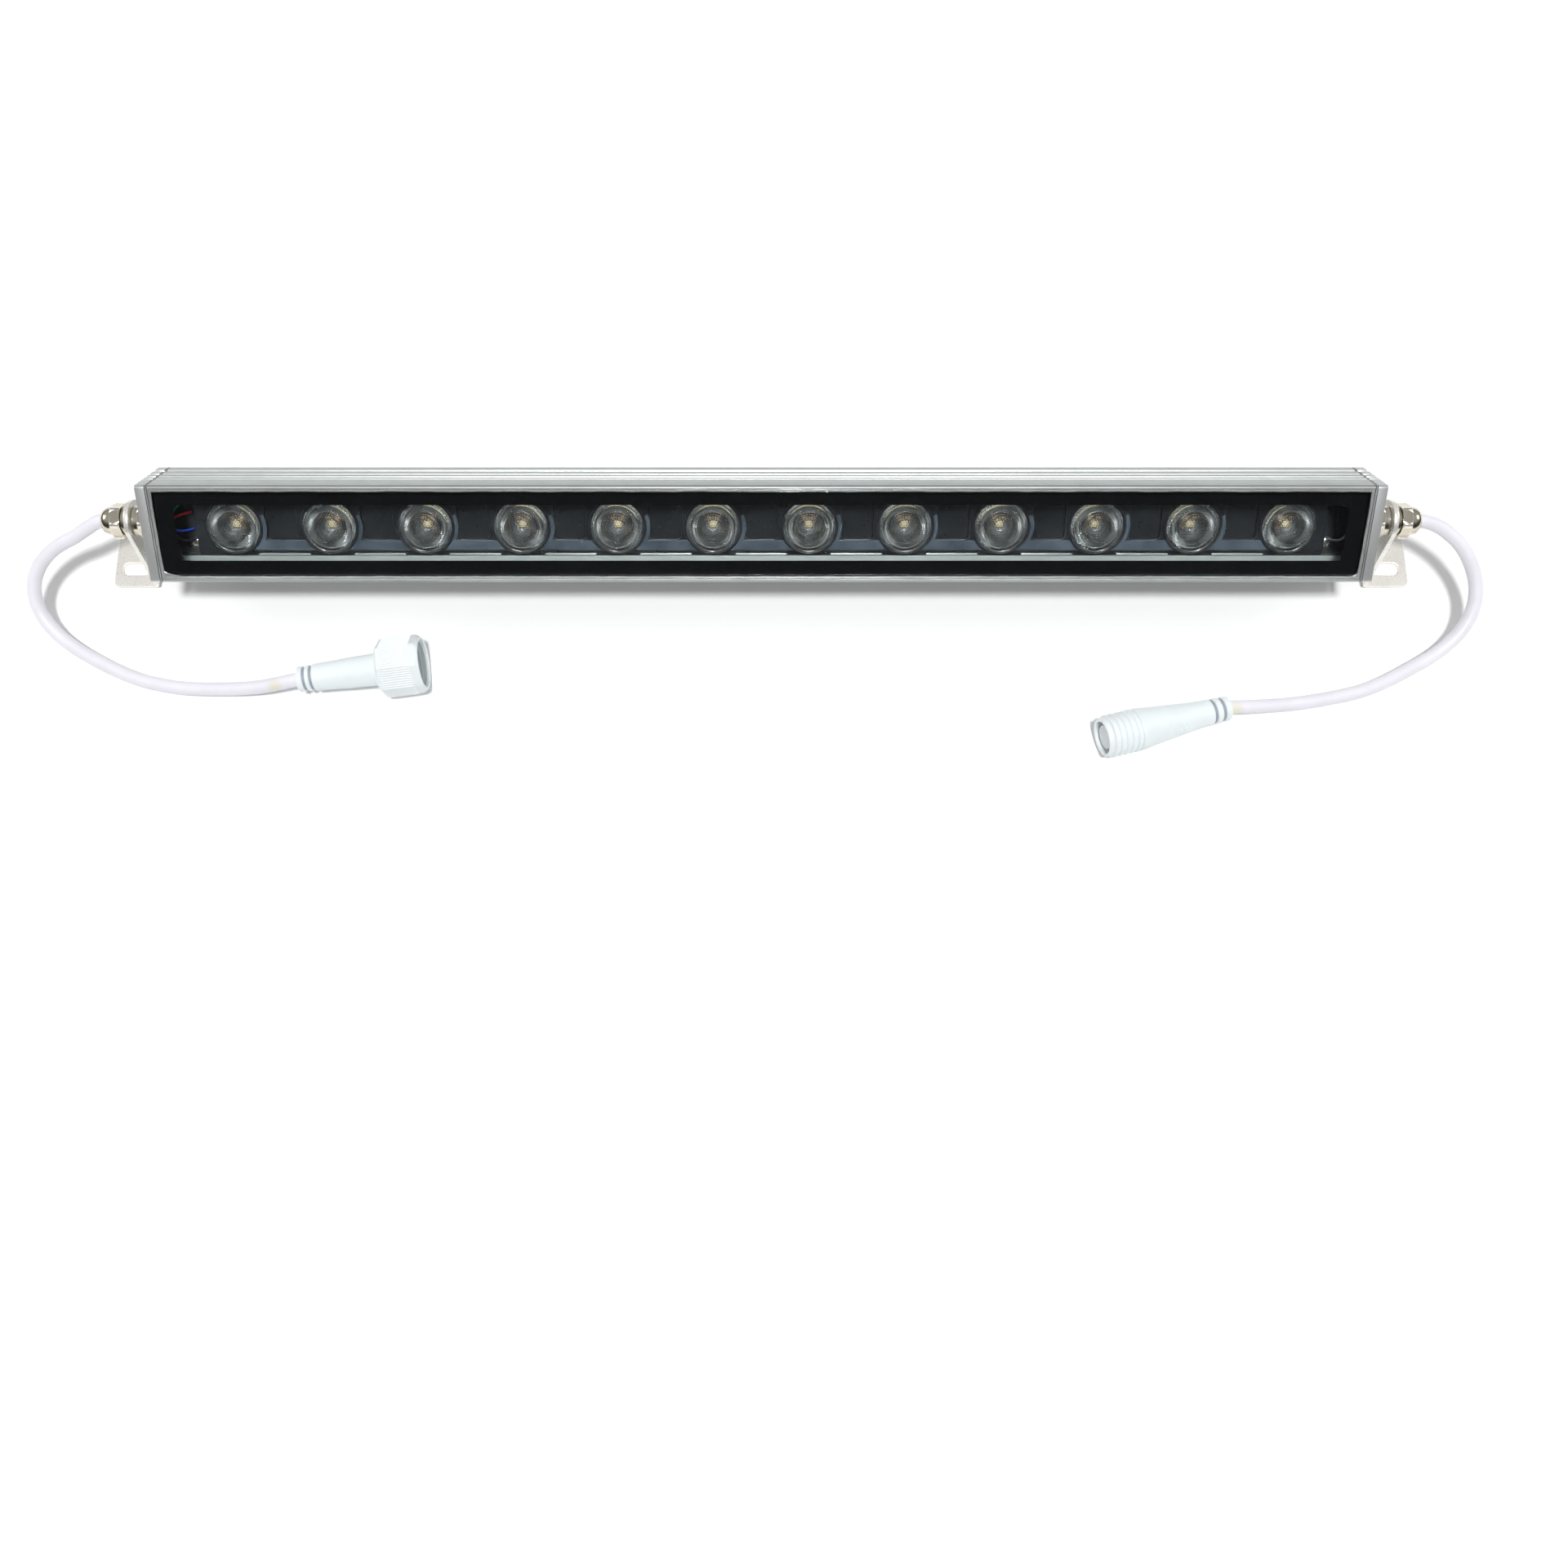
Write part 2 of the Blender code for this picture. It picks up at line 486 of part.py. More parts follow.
for name, route, tail, line in (("cord_left", LEFT_ROUTE, PLUG_TAIL, plug_line),
                                ("cord_right", RIGHT_ROUTE, SOCKET_TAIL, socket_line)):
    ends = (tuple(Vector(tail) - 0.0012 * line), tuple(Vector(tail) + 0.0019 * line))
    tube(name, through(route + ends, CORD_STEP), CORD_R, 3, CORD_WHITE)
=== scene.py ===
import math

import bmesh
import bpy
from mathutils import Euler, Matrix, Vector
from mathutils.geometry import tessellate_polygon


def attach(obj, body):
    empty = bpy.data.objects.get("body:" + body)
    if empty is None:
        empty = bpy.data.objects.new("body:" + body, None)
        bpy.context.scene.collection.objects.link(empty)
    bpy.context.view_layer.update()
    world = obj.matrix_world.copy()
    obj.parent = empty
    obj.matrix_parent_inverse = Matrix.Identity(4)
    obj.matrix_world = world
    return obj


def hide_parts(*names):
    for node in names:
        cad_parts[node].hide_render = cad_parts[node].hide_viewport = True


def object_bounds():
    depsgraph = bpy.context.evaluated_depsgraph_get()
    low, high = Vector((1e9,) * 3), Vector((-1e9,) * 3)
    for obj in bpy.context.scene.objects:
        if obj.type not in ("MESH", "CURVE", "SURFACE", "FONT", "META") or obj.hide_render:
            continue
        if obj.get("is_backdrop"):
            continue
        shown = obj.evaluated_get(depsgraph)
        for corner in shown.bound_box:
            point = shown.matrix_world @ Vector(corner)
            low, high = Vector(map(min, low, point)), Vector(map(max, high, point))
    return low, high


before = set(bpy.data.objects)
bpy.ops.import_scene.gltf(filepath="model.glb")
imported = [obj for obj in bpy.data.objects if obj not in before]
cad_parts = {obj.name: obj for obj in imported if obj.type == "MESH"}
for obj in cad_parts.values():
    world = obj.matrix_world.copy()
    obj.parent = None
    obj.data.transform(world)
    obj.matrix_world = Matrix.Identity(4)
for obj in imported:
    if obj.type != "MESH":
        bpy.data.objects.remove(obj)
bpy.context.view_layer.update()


# ---- Bar extrusion ---------------------------------------------------------------------------
# One length of aluminium pushed through a die, with cooling fins along its sides and back.
# It is satin anodised, and the glass, the optics and the board all drop into its channel.
GLAND_AXIS = Vector((0.0, 0.0033, 0.0336))
LEAN = Matrix.Translation(GLAND_AXIS) @ Matrix.Rotation(math.radians(42.0), 4, "X")
HALF_BAR = 0.2489
HALF_W = 0.0205
FRONT_Z = 0.0200
BACK_Z = -0.0105
SIDE_GROOVES = ((0.0100, 0.0088), (0.0069, 0.0053), (0.0026, 0.0009), (-0.0024, -0.0050))
BACK_GROOVES = (-0.012, -0.006, 0.0, 0.006, 0.012)
SIDE_DEPTH = 0.0015
BACK_HALF = 0.0015
BACK_DEPTH = 0.004
CHANNEL = [(0.0192, FRONT_Z), (0.0192, 0.0162), (0.0160, 0.0162), (0.0160, 0.0069),
           (0.0127, 0.0069), (0.0127, 0.0047), (0.0120, 0.0047), (0.0120, -0.0033)]


def feed(tree, entry, value):
    """Drive a socket from another socket, or set it to a value."""
    if isinstance(value, bpy.types.NodeSocket):
        tree.links.new(value, entry)
    else:
        entry.default_value = value


def grow(tree, kind, **feeds):
    """Add a node with its named inputs fed."""
    node = tree.nodes.new(kind)
    for label, value in feeds.items():
        feed(tree, node.inputs[label.replace("_", " ")], value)
    return node


def reckon(tree, operation, first, second):
    """One number worked out from two."""
    node = tree.nodes.new("ShaderNodeMath")
    node.operation = operation
    feed(tree, node.inputs[0], first)
    feed(tree, node.inputs[1], second)
    return node.outputs[0]


def mixed(tree, share, under, over):
    """One colour covered by another in the share given."""
    mix = tree.nodes.new("ShaderNodeMix")
    mix.data_type = "RGBA"
    for label, value in (("Factor", share), ("A", under), ("B", over)):
        feed(tree, mix.inputs[label], value)
    return mix.outputs["Result"]


def finish(name, colour, metallic, roughness, grain=(900, 900, 900), depth=0.0, mottle=0.08,
           spread=0.08, rub=None, patch=90.0, painted_shade=None, **sockets):
    """A finish in object space: cloudy colour, grain in the gloss and surface, rubbed edges."""
    mat = bpy.data.materials.new(name)
    mat.use_nodes = True
    tree = mat.node_tree
    shader = tree.nodes["Principled BSDF"]
    where = grow(tree, "ShaderNodeTexCoord").outputs["Object"]
    cloud = grow(tree, "ShaderNodeTexNoise", Vector=where, Scale=patch, Detail=5.0)
    stretch = grow(tree, "ShaderNodeMapping", Vector=where, Scale=grain)
    fine = grow(tree, "ShaderNodeTexNoise", Vector=stretch.outputs["Vector"], Scale=1.0,
                Detail=4.0).outputs["Fac"]
    ramp = grow(tree, "ShaderNodeValToRGB", Fac=cloud.outputs["Fac"])
    for stop, place, gain in zip(ramp.color_ramp.elements, (0.32, 0.68), (-mottle, 0.6 * mottle)):
        stop.position = place
        stop.color = (*(min(1.0, c * (1.0 + gain)) for c in colour), 1.0)
    paint = ramp.outputs["Color"]
    # The second mark is painted shade: a darker colour mixed into the hollows that a mesh marks,
    # standing in for their shadow.
    for mark, cover in (("wear", rub), ("painted_shade", painted_shade)):
        if cover:
            share = grow(tree, "ShaderNodeAttribute")
            share.attribute_name = mark
            amount = share.outputs["Fac"]
            if mark == "wear":
                amount = reckon(tree, "MULTIPLY", amount, fine)
            paint = mixed(tree, amount, paint, (*cover, 1.0))
    gloss = grow(tree, "ShaderNodeMapRange", Value=fine, To_Min=max(0.01, roughness - spread),
                 To_Max=min(1.0, roughness + spread))
    sockets.update(Base_Color=paint, Roughness=gloss.outputs["Result"], Metallic=metallic)
    if depth:
        bump = grow(tree, "ShaderNodeBump", Strength=0.6, Distance=depth, Height=fine)
        sockets["Normal"] = bump.outputs["Normal"]
    for label, value in sockets.items():
        feed(tree, shader.inputs[label.replace("_", " ")], value)
    return mat


def rounded(loop, radius, steps=2):
    """The same loop of corners, each one turned into a small arc."""
    points = []
    for k, here in enumerate(loop):
        here = Vector(here)
        back, ahead = Vector(loop[k - 1]) - here, Vector(loop[(k + 1) % len(loop)]) - here
        cut = min(radius, 0.42 * back.length, 0.42 * ahead.length)
        start, end = here + cut * back.normalized(), here + cut * ahead.normalized()
        for s in range(steps + 1):
            t = s / steps
            points.append(start.lerp(here, t).lerp(here.lerp(end, t), t))
    return points


def node_tree(name, inputs):
    """An empty Geometry Nodes tree with a geometry input, named inputs and one output."""
    tree = bpy.data.node_groups.new(name, "GeometryNodeTree")
    face = tree.interface
    face.new_socket("Geometry", in_out="INPUT", socket_type="NodeSocketGeometry")
    ids = {}
    for label, kind in inputs.items():
        entry = face.new_socket(label, in_out="INPUT", socket_type="NodeSocket" + kind)
        ids[label] = entry.identifier
    face.new_socket("Geometry", in_out="OUTPUT", socket_type="NodeSocketGeometry")
    return tree, ids, tree.nodes.new("NodeGroupInput"), tree.nodes.new("NodeGroupOutput")


def joined(tree, parts):
    """Several geometries as one."""
    both = tree.nodes.new("GeometryNodeJoinGeometry")
    for part in parts:
        tree.links.new(part, both.inputs[0])
    return both.outputs[0]


def end_tree(tree, given, out, geometry):
    """The last two steps of every tree: real geometry, then its finish."""
    real = grow(tree, "GeometryNodeRealizeInstances", Geometry=geometry)
    paint = grow(tree, "GeometryNodeSetMaterial", Geometry=real.outputs["Geometry"],
                 Material=given.outputs["Finish"])
    tree.links.new(paint.outputs["Geometry"], out.inputs[0])


def hang(name, mesh):
    """Link a mesh as an object at the origin."""
    obj = bpy.data.objects.new(name, mesh)
    bpy.context.scene.collection.objects.link(obj)
    return obj


def run_tree(obj, tree, ids, values):
    """Give the tree its inputs by identifier, keep the plain mesh it makes, drop the modifier."""
    step = obj.modifiers.new("tree", "NODES")
    step.node_group = tree
    for label, value in values.items():
        step[ids[label]] = value
    obj.update_tag()
    made = obj.evaluated_get(bpy.context.evaluated_depsgraph_get())
    result = bpy.data.meshes.new_from_object(made)
    obj.modifiers.remove(step)
    obj.data = result
    return obj


def fit(obj, body, nodes=(), place=None, smooth=34.0):
    """Set the mesh in its place, shade it, and hand it to the frame."""
    if place is not None:
        obj.data.transform(place)
    obj.data.shade_smooth()
    obj.data.set_sharp_from_angle(angle=math.radians(smooth))
    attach(obj, body)
    if nodes:
        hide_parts(*nodes)
    return obj


def side_outline(groove):
    points = [(HALF_W - 0.0012, BACK_Z), (HALF_W, BACK_Z + 0.0012)]
    for top, bottom in reversed(SIDE_GROOVES):
        points += [(HALF_W, bottom), (HALF_W - groove, bottom + 0.0003),
                   (HALF_W - groove, top - 0.0003), (HALF_W, top)]
    return points + [(HALF_W, FRONT_Z - 0.0008), (HALF_W - 0.0008, FRONT_Z)]


half = side_outline(SIDE_DEPTH) + CHANNEL
section = []
for y in BACK_GROOVES:
    section += [(y - BACK_HALF, BACK_Z), (y - BACK_HALF, BACK_Z + BACK_DEPTH),
                (y + BACK_HALF, BACK_Z + BACK_DEPTH), (y + BACK_HALF, BACK_Z)]
section = rounded(section + half + [(-y, z) for y, z in reversed(half)], 0.00022)

bm = bmesh.new()
wear = bm.verts.layers.float.new("wear")
painted_shade = bm.verts.layers.float.new("painted_shade")
ring = [bm.verts.new((-HALF_BAR, p.x, p.y)) for p in section]
for k, vert in enumerate(ring):
    a, b, c = section[k - 1], section[k], section[(k + 1) % len(ring)]
    turn = (b - a).cross(c - b) / max((b - a).length * (c - b).length, 1e-12)
    vert[wear] = 1.0 if turn > 0.45 else 0.0
    # Painted shade: the groove floors on the sides and back are marked fully and the channel with
    # its ledge half, so a darker colour stands in for the shadow in these hollows.
    in_side = HALF_W - 0.0018 < abs(b.x) < HALF_W - 0.0006 and b.y < 0.0102
    in_back = abs(b.x) < 0.0140 and BACK_Z + 0.0030 < b.y < BACK_Z + 0.0045
    in_channel = abs(b.x) < 0.0165 and b.y > -0.0040
    vert[painted_shade] = 1.0 if in_side or in_back else (0.50 if in_channel else 0.0)
start_face = bm.faces.new(ring)
start_face.normal_update()
if start_face.normal.x < 0.0:
    start_face.normal_flip()
mesh = bpy.data.meshes.new("bar_extrusion")
bm.to_mesh(mesh)
bm.free()

tree, ids, given, out = node_tree("push through the die", {
    "Length": "Float", "Finish": "Material"})
sheet = given.outputs["Geometry"]
push = grow(tree, "GeometryNodeExtrudeMesh", Mesh=sheet, Offset_Scale=given.outputs["Length"],
            Individual=False)
turn_over = grow(tree, "GeometryNodeFlipFaces", Mesh=sheet)
shell = joined(tree, [push.outputs["Mesh"], turn_over.outputs["Mesh"]])
weld = grow(tree, "GeometryNodeMergeByDistance", Geometry=shell, Distance=1e-6)
end_tree(tree, given, out, weld.outputs["Geometry"])

# The bar's last colour is painted shade for its grooves and channel.
bar_satin = finish("satin anodised bar", (0.44, 0.465, 0.46), 0.80, 0.42, grain=(14, 2600, 2600),
                   depth=0.00002, mottle=0.07, spread=0.10, rub=(0.58, 0.60, 0.60),
                   painted_shade=(0.10, 0.115, 0.11))
bar = run_tree(hang("bar_extrusion", mesh), tree, ids, {
    "Length": 2.0 * HALF_BAR, "Finish": bar_satin})
fit(bar, "housing", ["housing_extrusion"], LEAN)


# ---- End caps, their gaskets and screws ------------------------------------------------------
# Each cap is milled from 4 mm aluminium plate to the bar's outline, bead blasted and anodised.
# A grey silicone gasket lies under it, and two socket screws pull it into the bar's back ribs.
CAP_IN = 0.2500
CAP_T = 0.0040
GLAND_HOLE = 0.00535
SCREW_YZ = ((-0.0120, -0.0082), (0.0120, -0.0082))


def circle(cu, cv, radius, count):
    return [Vector((cu + radius * math.cos(2.0 * math.pi * k / count),
                    cv + radius * math.sin(2.0 * math.pi * k / count))) for k in range(count)]


def box_loop(half_u, half_v):
    return [(-half_u, -half_v), (half_u, -half_v), (half_u, half_v), (-half_u, half_v)]


def bridge(bm, near, far):
    """Faces between two closed loops of as many points."""
    for k in range(len(near)):
        n = (k + 1) % len(near)
        bm.faces.new((near[k], near[n], far[n], far[k]))


def inset(loop, amount):
    """Every corner moved to the left of the way round, by the same width."""
    moved = []
    for k, here in enumerate(loop):
        before = (here - loop[k - 1]).normalized()
        after = (loop[(k + 1) % len(loop)] - here).normalized()
        left, right = Vector((-before.y, before.x)), Vector((-after.y, after.x))
        moved.append(here + amount * (left + right) / max(1.0 + left.dot(right), 0.4))
    return moved


def plate(loops, low, high, edge):
    """A flat slab with softened edges; the first loop is the outline, the rest are holes."""
    ways = []
    for number, loop in enumerate(loops):
        loop = [Vector(p) for p in loop]
        area = sum(a.cross(b) for a, b in zip(loop, loop[1:] + loop[:1]))
        ways.append(loop if (area > 0.0) == (number == 0) else loop[::-1])
    levels = [(low, 2.4), (low, 1.0), (low + 0.29 * edge, 0.29), (low + edge, 0.0),
              (high - edge, 0.0), (high - 0.29 * edge, 0.29), (high, 1.0), (high, 2.4)]
    bm = bmesh.new()
    rings = []
    for level, share in levels:
        rings.append([[bm.verts.new((p.x, p.y, level)) for p in inset(loop, share * edge)]
                      for loop in ways])
    for below, above in zip(rings, rings[1:]):
        for lower, upper in zip(below, above):
            bridge(bm, lower, upper)
    for group in (rings[0], rings[-1]):
        flat = [vert for loop in group for vert in loop]
        for tri in tessellate_polygon([[v.co for v in loop] for loop in group]):
            bm.faces.new([flat[k] for k in tri])
    return bm


def solid(name, bm, look, turn=34.0):
    """Weld and turn a shell right side out, mark its outer edges for wear, and link it."""
    bmesh.ops.remove_doubles(bm, verts=bm.verts, dist=1e-6)
    bmesh.ops.dissolve_degenerate(bm, edges=bm.edges, dist=1e-7)
    bmesh.ops.recalc_face_normals(bm, faces=bm.faces)
    wear = bm.verts.layers.float.new("wear")
    for edge in bm.edges:
        if edge.is_convex and edge.calc_face_angle(0.0) > math.radians(turn):
            for vert in edge.verts:
                vert[wear] = 1.0
    mesh = bpy.data.meshes.new(name)
    bm.to_mesh(mesh)
    bm.free()
    mesh.materials.append(look)
    return hang(name, mesh)


def in_bar(name, bm, look, nodes=(), smooth=34.0):
    """One piece of the bar, drawn flat and leant back with the rest."""
    return fit(solid(name, bm, look), "housing", nodes, LEAN, smooth)


CAP_PLANE = Matrix(((0, 0, 1, 0), (1, 0, 0, 0), (0, 1, 0, 0), (0, 0, 0, 1)))
cap_matt = finish("bead blasted cap", (0.57, 0.585, 0.585), 0.70, 0.46, grain=(2400, 2400, 2400),
                  depth=0.00003, mottle=0.06, spread=0.08, rub=(0.92, 0.93, 0.93))
gasket_rubber = finish("grey gasket silicone", (0.30, 0.31, 0.31), 0.0, 0.60,
                       grain=(1800, 1800, 1800), depth=0.00004, mottle=0.25)
right_side = side_outline(0.0009)
cap_outline = rounded(right_side + [(-y, z) for y, z in reversed(right_side)], 0.0002)
for side, word in ((-1.0, "left"), (1.0, "right")):
    holes = [circle(0.0, 0.0, GLAND_HOLE, 48)] + [circle(y, z, 0.00155, 20) for y, z in SCREW_YZ]
    low, high = sorted((side * CAP_IN, side * (CAP_IN + CAP_T)))
    bm = plate([cap_outline] + holes, low, high, 0.00012)
    bmesh.ops.transform(bm, matrix=CAP_PLANE, verts=bm.verts)
    in_bar("end_plate_" + word, bm, cap_matt, ["end_cap_" + word])
    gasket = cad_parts["cap_gasket_" + word]
    gasket.data.materials.clear()
    gasket.data.materials.append(gasket_rubber)


def turned(profile, count=72, closed=True):
    """A lathe turning about X from (x, radius[, flats[, corner limit]]) points."""
    bm = bmesh.new()
    rings = []
    for point in profile:
        x, radius = point[0], point[1]
        if radius == 0.0:
            rings.append([bm.verts.new((x, 0.0, 0.0))])
            continue
        flats = point[2] if len(point) > 2 else 0
        limit = point[3] if len(point) > 3 else 1.0
        ring = []
        for k in range(count):
            angle = 2.0 * math.pi * k / count
            reach = radius
            if flats:
                sector = 2.0 * math.pi / flats
                reach = radius / math.cos((angle + sector / 2.0) % sector - sector / 2.0)
                reach = min(reach, limit)
            ring.append(bm.verts.new((x, reach * math.cos(angle), reach * math.sin(angle))))
        rings.append(ring)
    pairs = list(zip(rings, rings[1:])) + ([(rings[-1], rings[0])] if closed else [])
    for near, far in pairs:
        for k in range(count):
            n = (k + 1) % count
            if len(near) == 1:
                bm.faces.new((near[0], far[n], far[k]))
            elif len(far) == 1:
                bm.faces.new((near[k], near[n], far[0]))
            else:
                bm.faces.new((near[k], near[n], far[n], far[k]))
    return bm


SCREW_SEAT = CAP_IN + CAP_T + 0.0003
screw_shape = [(-0.0085, 0.0), (-0.0085, 0.0009), (-0.0079, 0.00118), (0.0, 0.00118),
               (0.0, 0.0019), (0.0002, 0.0021), (0.0010, 0.0021), (0.0014, 0.0019),
               (0.0016, 0.0015), (0.0016, 0.00088, 6), (0.0006, 0.00085, 6), (0.0003, 0.0)]
bm = turned(screw_shape, 36, False)
screw_steel = finish("zinc plated screw", (0.62, 0.61, 0.58), 1.0, 0.28, mottle=0.12,
                     rub=(0.85, 0.85, 0.83))
tree, ids, given, out = node_tree("a pair of screws in each cap", {
    "Seat": "Float", "Spacing": "Float", "Drop": "Float", "Finish": "Material"})
halves = []
for side in (-1.0, 1.0):
    start = grow(tree, "ShaderNodeCombineXYZ", Z=given.outputs["Drop"],
                 X=reckon(tree, "MULTIPLY", given.outputs["Seat"], side),
                 Y=reckon(tree, "MULTIPLY", given.outputs["Spacing"], -0.5))
    gap = grow(tree, "ShaderNodeCombineXYZ", Y=given.outputs["Spacing"])
    pair = grow(tree, "GeometryNodeMeshLine", Count=2, Start_Location=start.outputs[0],
                Offset=gap.outputs[0])
    put = grow(tree, "GeometryNodeInstanceOnPoints", Points=pair.outputs["Mesh"],
               Instance=given.outputs["Geometry"],
               Rotation=(0.0, 0.0, 0.0 if side > 0.0 else math.pi))
    halves.append(put.outputs["Instances"])
end_tree(tree, given, out, joined(tree, halves))
screws = run_tree(solid("cap_screws", bm, screw_steel), tree, ids, {
    "Seat": SCREW_SEAT, "Spacing": SCREW_YZ[1][0] - SCREW_YZ[0][0], "Drop": SCREW_YZ[0][1],
    "Finish": screw_steel})
fit(screws, "housing",
    ["cap_screw_%s_%d" % (word, n) for word in ("left", "right") for n in (1, 2)], LEAN)


# ---- LED board -------------------------------------------------------------------------------
# An aluminium cored circuit board under black solder mask, screwed to the channel floor.
# Tinned pads stand beside each lamp, and a steel screw holds each end.
black_mask = finish("black solder mask", (0.020, 0.023, 0.025), 0.0, 0.38, mottle=0.15,
                    depth=0.00001)
bm = plate([rounded(box_loop(0.2430, 0.0117), 0.0010, 4)], -0.0030, -0.0014, 0.0001)
in_bar("lamp_board", bm, black_mask, ["led_board"])

tin = finish("tinned pad", (0.74, 0.74, 0.72), 1.0, 0.30, mottle=0.15, depth=0.00003)
PITCH = 0.0400
LAMPS = 12
BOARD_SCREWS_APART = 0.4796


def row_tree(name):
    """Copies of the incoming shape in a line along X, centred, at a given place across the bar."""
    tree, ids, given, out = node_tree(name, {
        "Count": "Int", "Pitch": "Float", "Across": "Float", "Finish": "Material"})
    less = reckon(tree, "SUBTRACT", 1.0, given.outputs["Count"])
    whole = reckon(tree, "MULTIPLY", less, given.outputs["Pitch"])
    start = grow(tree, "ShaderNodeCombineXYZ", X=reckon(tree, "MULTIPLY", whole, 0.5),
                 Y=given.outputs["Across"])
    step = grow(tree, "ShaderNodeCombineXYZ", X=given.outputs["Pitch"])
    line = grow(tree, "GeometryNodeMeshLine", Count=given.outputs["Count"],
                Start_Location=start.outputs[0], Offset=step.outputs[0])
    put = grow(tree, "GeometryNodeInstanceOnPoints", Points=line.outputs["Mesh"],
               Instance=given.outputs["Geometry"])
    end_tree(tree, given, out, put.outputs["Instances"])
    return tree, ids


row, row_ids = row_tree("one at every lamp")


def in_row(name, bm, look, nodes=(), count=LAMPS, pitch=PITCH, across=0.0, smooth=34.0):
    """One piece made of equal shapes in a row along the bar."""
    obj = run_tree(solid(name, bm, look), row, row_ids, {
        "Count": count, "Pitch": pitch, "Across": across, "Finish": look})
    return fit(obj, "housing", nodes, LEAN, smooth)


def upright(bm):
    """Stand a turned shape up, its axis out of the board."""
    bmesh.ops.rotate(bm, cent=(0, 0, 0), matrix=Matrix.Rotation(-math.pi / 2.0, 3, "Y"),
                     verts=bm.verts)
    return bm


for number, across in enumerate((-0.0100, 0.0100)):
    bm = plate([rounded(box_loop(0.0017, 0.0008), 0.0004, 3)], -0.0014, -0.0011, 0.00012)
    in_row("solder_pads_%d" % number, bm, tin, across=across)
bm = upright(turned([(-0.0013, 0.0), (-0.0013, 0.0024), (-0.0009, 0.0026), (-0.0004, 0.0024),
                     (0.0, 0.0017), (0.0, 0.0010, 6), (-0.0007, 0.0009, 6), (-0.0008, 0.0)],
                    36, False))
in_row("board_screws", bm, screw_steel, count=2, pitch=BOARD_SCREWS_APART,
       across=-0.0094)


# ---- Lamps -----------------------------------------------------------------------------------
# Twelve surface mounted LEDs: a moulded package with a square of ochre phosphor gel on top.
# They are reflow soldered to the board under the middle of each lens.
package_tan = finish("led package", (0.27, 0.175, 0.10), 0.0, 0.40, mottle=0.10)
phosphor = finish("phosphor gel", (0.36, 0.30, 0.17), 0.0, 0.45, mottle=0.10, patch=500.0)
bm = plate([rounded(box_loop(0.00235, 0.00235), 0.0003, 3)], -0.0011, -0.0001, 0.00012)
in_row("led_packages", bm, package_tan,
       ["led_chip_%02d" % n for n in range(1, LAMPS + 1)])
bm = plate([rounded(box_loop(0.00205, 0.00205), 0.0005, 4)], -0.0001, 0.0002, 0.0001)
in_row("led_phosphor", bm, phosphor)


# ---- Lens carrier ----------------------------------------------------------------------------
# A long black moulding that drops onto the shelf in the channel and centres the lenses, with a
# raised cup and a bright metallised holder for each. Shallow pockets lighten the web between the
# cups. Its raised blue-grey band is a painted reflection, its pale lower lip a painted highlight.
carrier_black = finish("black carrier plastic", (0.010, 0.011, 0.013), 0.0, 0.30, mottle=0.3,
                       depth=0.00002, grain=(700, 700, 700))
# A blue-grey colour for the raised bands: a painted reflection on the dark web beside each lens.
carrier_painted_reflection = finish("carrier band painted reflection", (0.046, 0.057, 0.072), 0.0, 0.24, mottle=0.30,
                       depth=0.00001, grain=(300, 300, 300))
CENTRES = [PITCH * (k - (LAMPS - 1) / 2.0) for k in range(LAMPS)]
carrier_edge = rounded(box_loop(0.2360, 0.0123), 0.0012, 4)
lens_holes = [circle(x, 0.0, 0.0109, 64) for x in CENTRES]
bm = plate([carrier_edge] + lens_holes, 0.0050, 0.0057, 0.0002)
in_bar("lens_carrier", bm, carrier_black, ["lens_frame"])
pockets = []
for x in CENTRES[:-1]:
    middle = x + PITCH / 2.0
    corners = [(middle + u, v) for u, v in ((-0.0066, -0.0056), (0.0066, -0.0056),
                                            (0.0066, 0.0092), (-0.0066, 0.0092))]
    pockets.append(rounded(corners, 0.0022, 5))
bm = plate([carrier_edge] + lens_holes + pockets, 0.0057, 0.0070, 0.0003)
in_bar("carrier_web", bm, carrier_black)

cup = rounded([(0.0070, 0.0112), (0.0070, 0.0121), (0.0079, 0.0121), (0.0079, 0.0112)], 0.0003)
in_row("lens_cups", upright(turned([(p.x, p.y) for p in cup], 72)), carrier_black)


def swing(centre, radius, start, end, steps):
    turns = [math.radians(start + (end - start) * k / steps) for k in range(steps + 1)]
    return [(centre + radius * math.cos(t), radius * math.sin(t)) for t in turns]


# Raised strips by each lens that carry the painted reflection.
raised = (swing(-0.0200, 0.0122, 22.0, -56.0, 10) + swing(0.0200, 0.0122, 236.0, 208.5, 5)
          + swing(-0.0200, 0.0139, -24.5, 22.0, 8))
bm = plate([raised], 0.0070, 0.0075, 0.0002)
in_row("painted_reflection_bands", bm, carrier_painted_reflection, count=LAMPS - 1)
holder_silver = finish("lens holder", (0.62, 0.63, 0.63), 1.0, 0.12, mottle=0.12, patch=260.0)
bm = upright(turned([(-0.0008, 0.0047), (0.0004, 0.0048), (0.0030, 0.0075), (0.0050, 0.0093),
                     (0.0064, 0.0104), (0.0064, 0.0107), (0.0050, 0.0097), (0.0030, 0.0079),
                     (0.0004, 0.0052), (-0.0008, 0.0051)], 48))
in_row("lens_holders", bm, holder_silver)
# A thin pale strip along the carrier's lower edge: a painted highlight standing in for the glint on
# that edge.
lip_painted_highlight = finish("carrier lip painted highlight", (0.80, 0.83, 0.83), 0.7, 0.20, mottle=0.1)
bm = plate([rounded(box_loop(0.0108, 0.00030), 0.00025, 3)], 0.0070, 0.0079, 0.0002)
in_row("painted_highlight_lips", bm, lip_painted_highlight, count=LAMPS - 1, across=-0.0118)
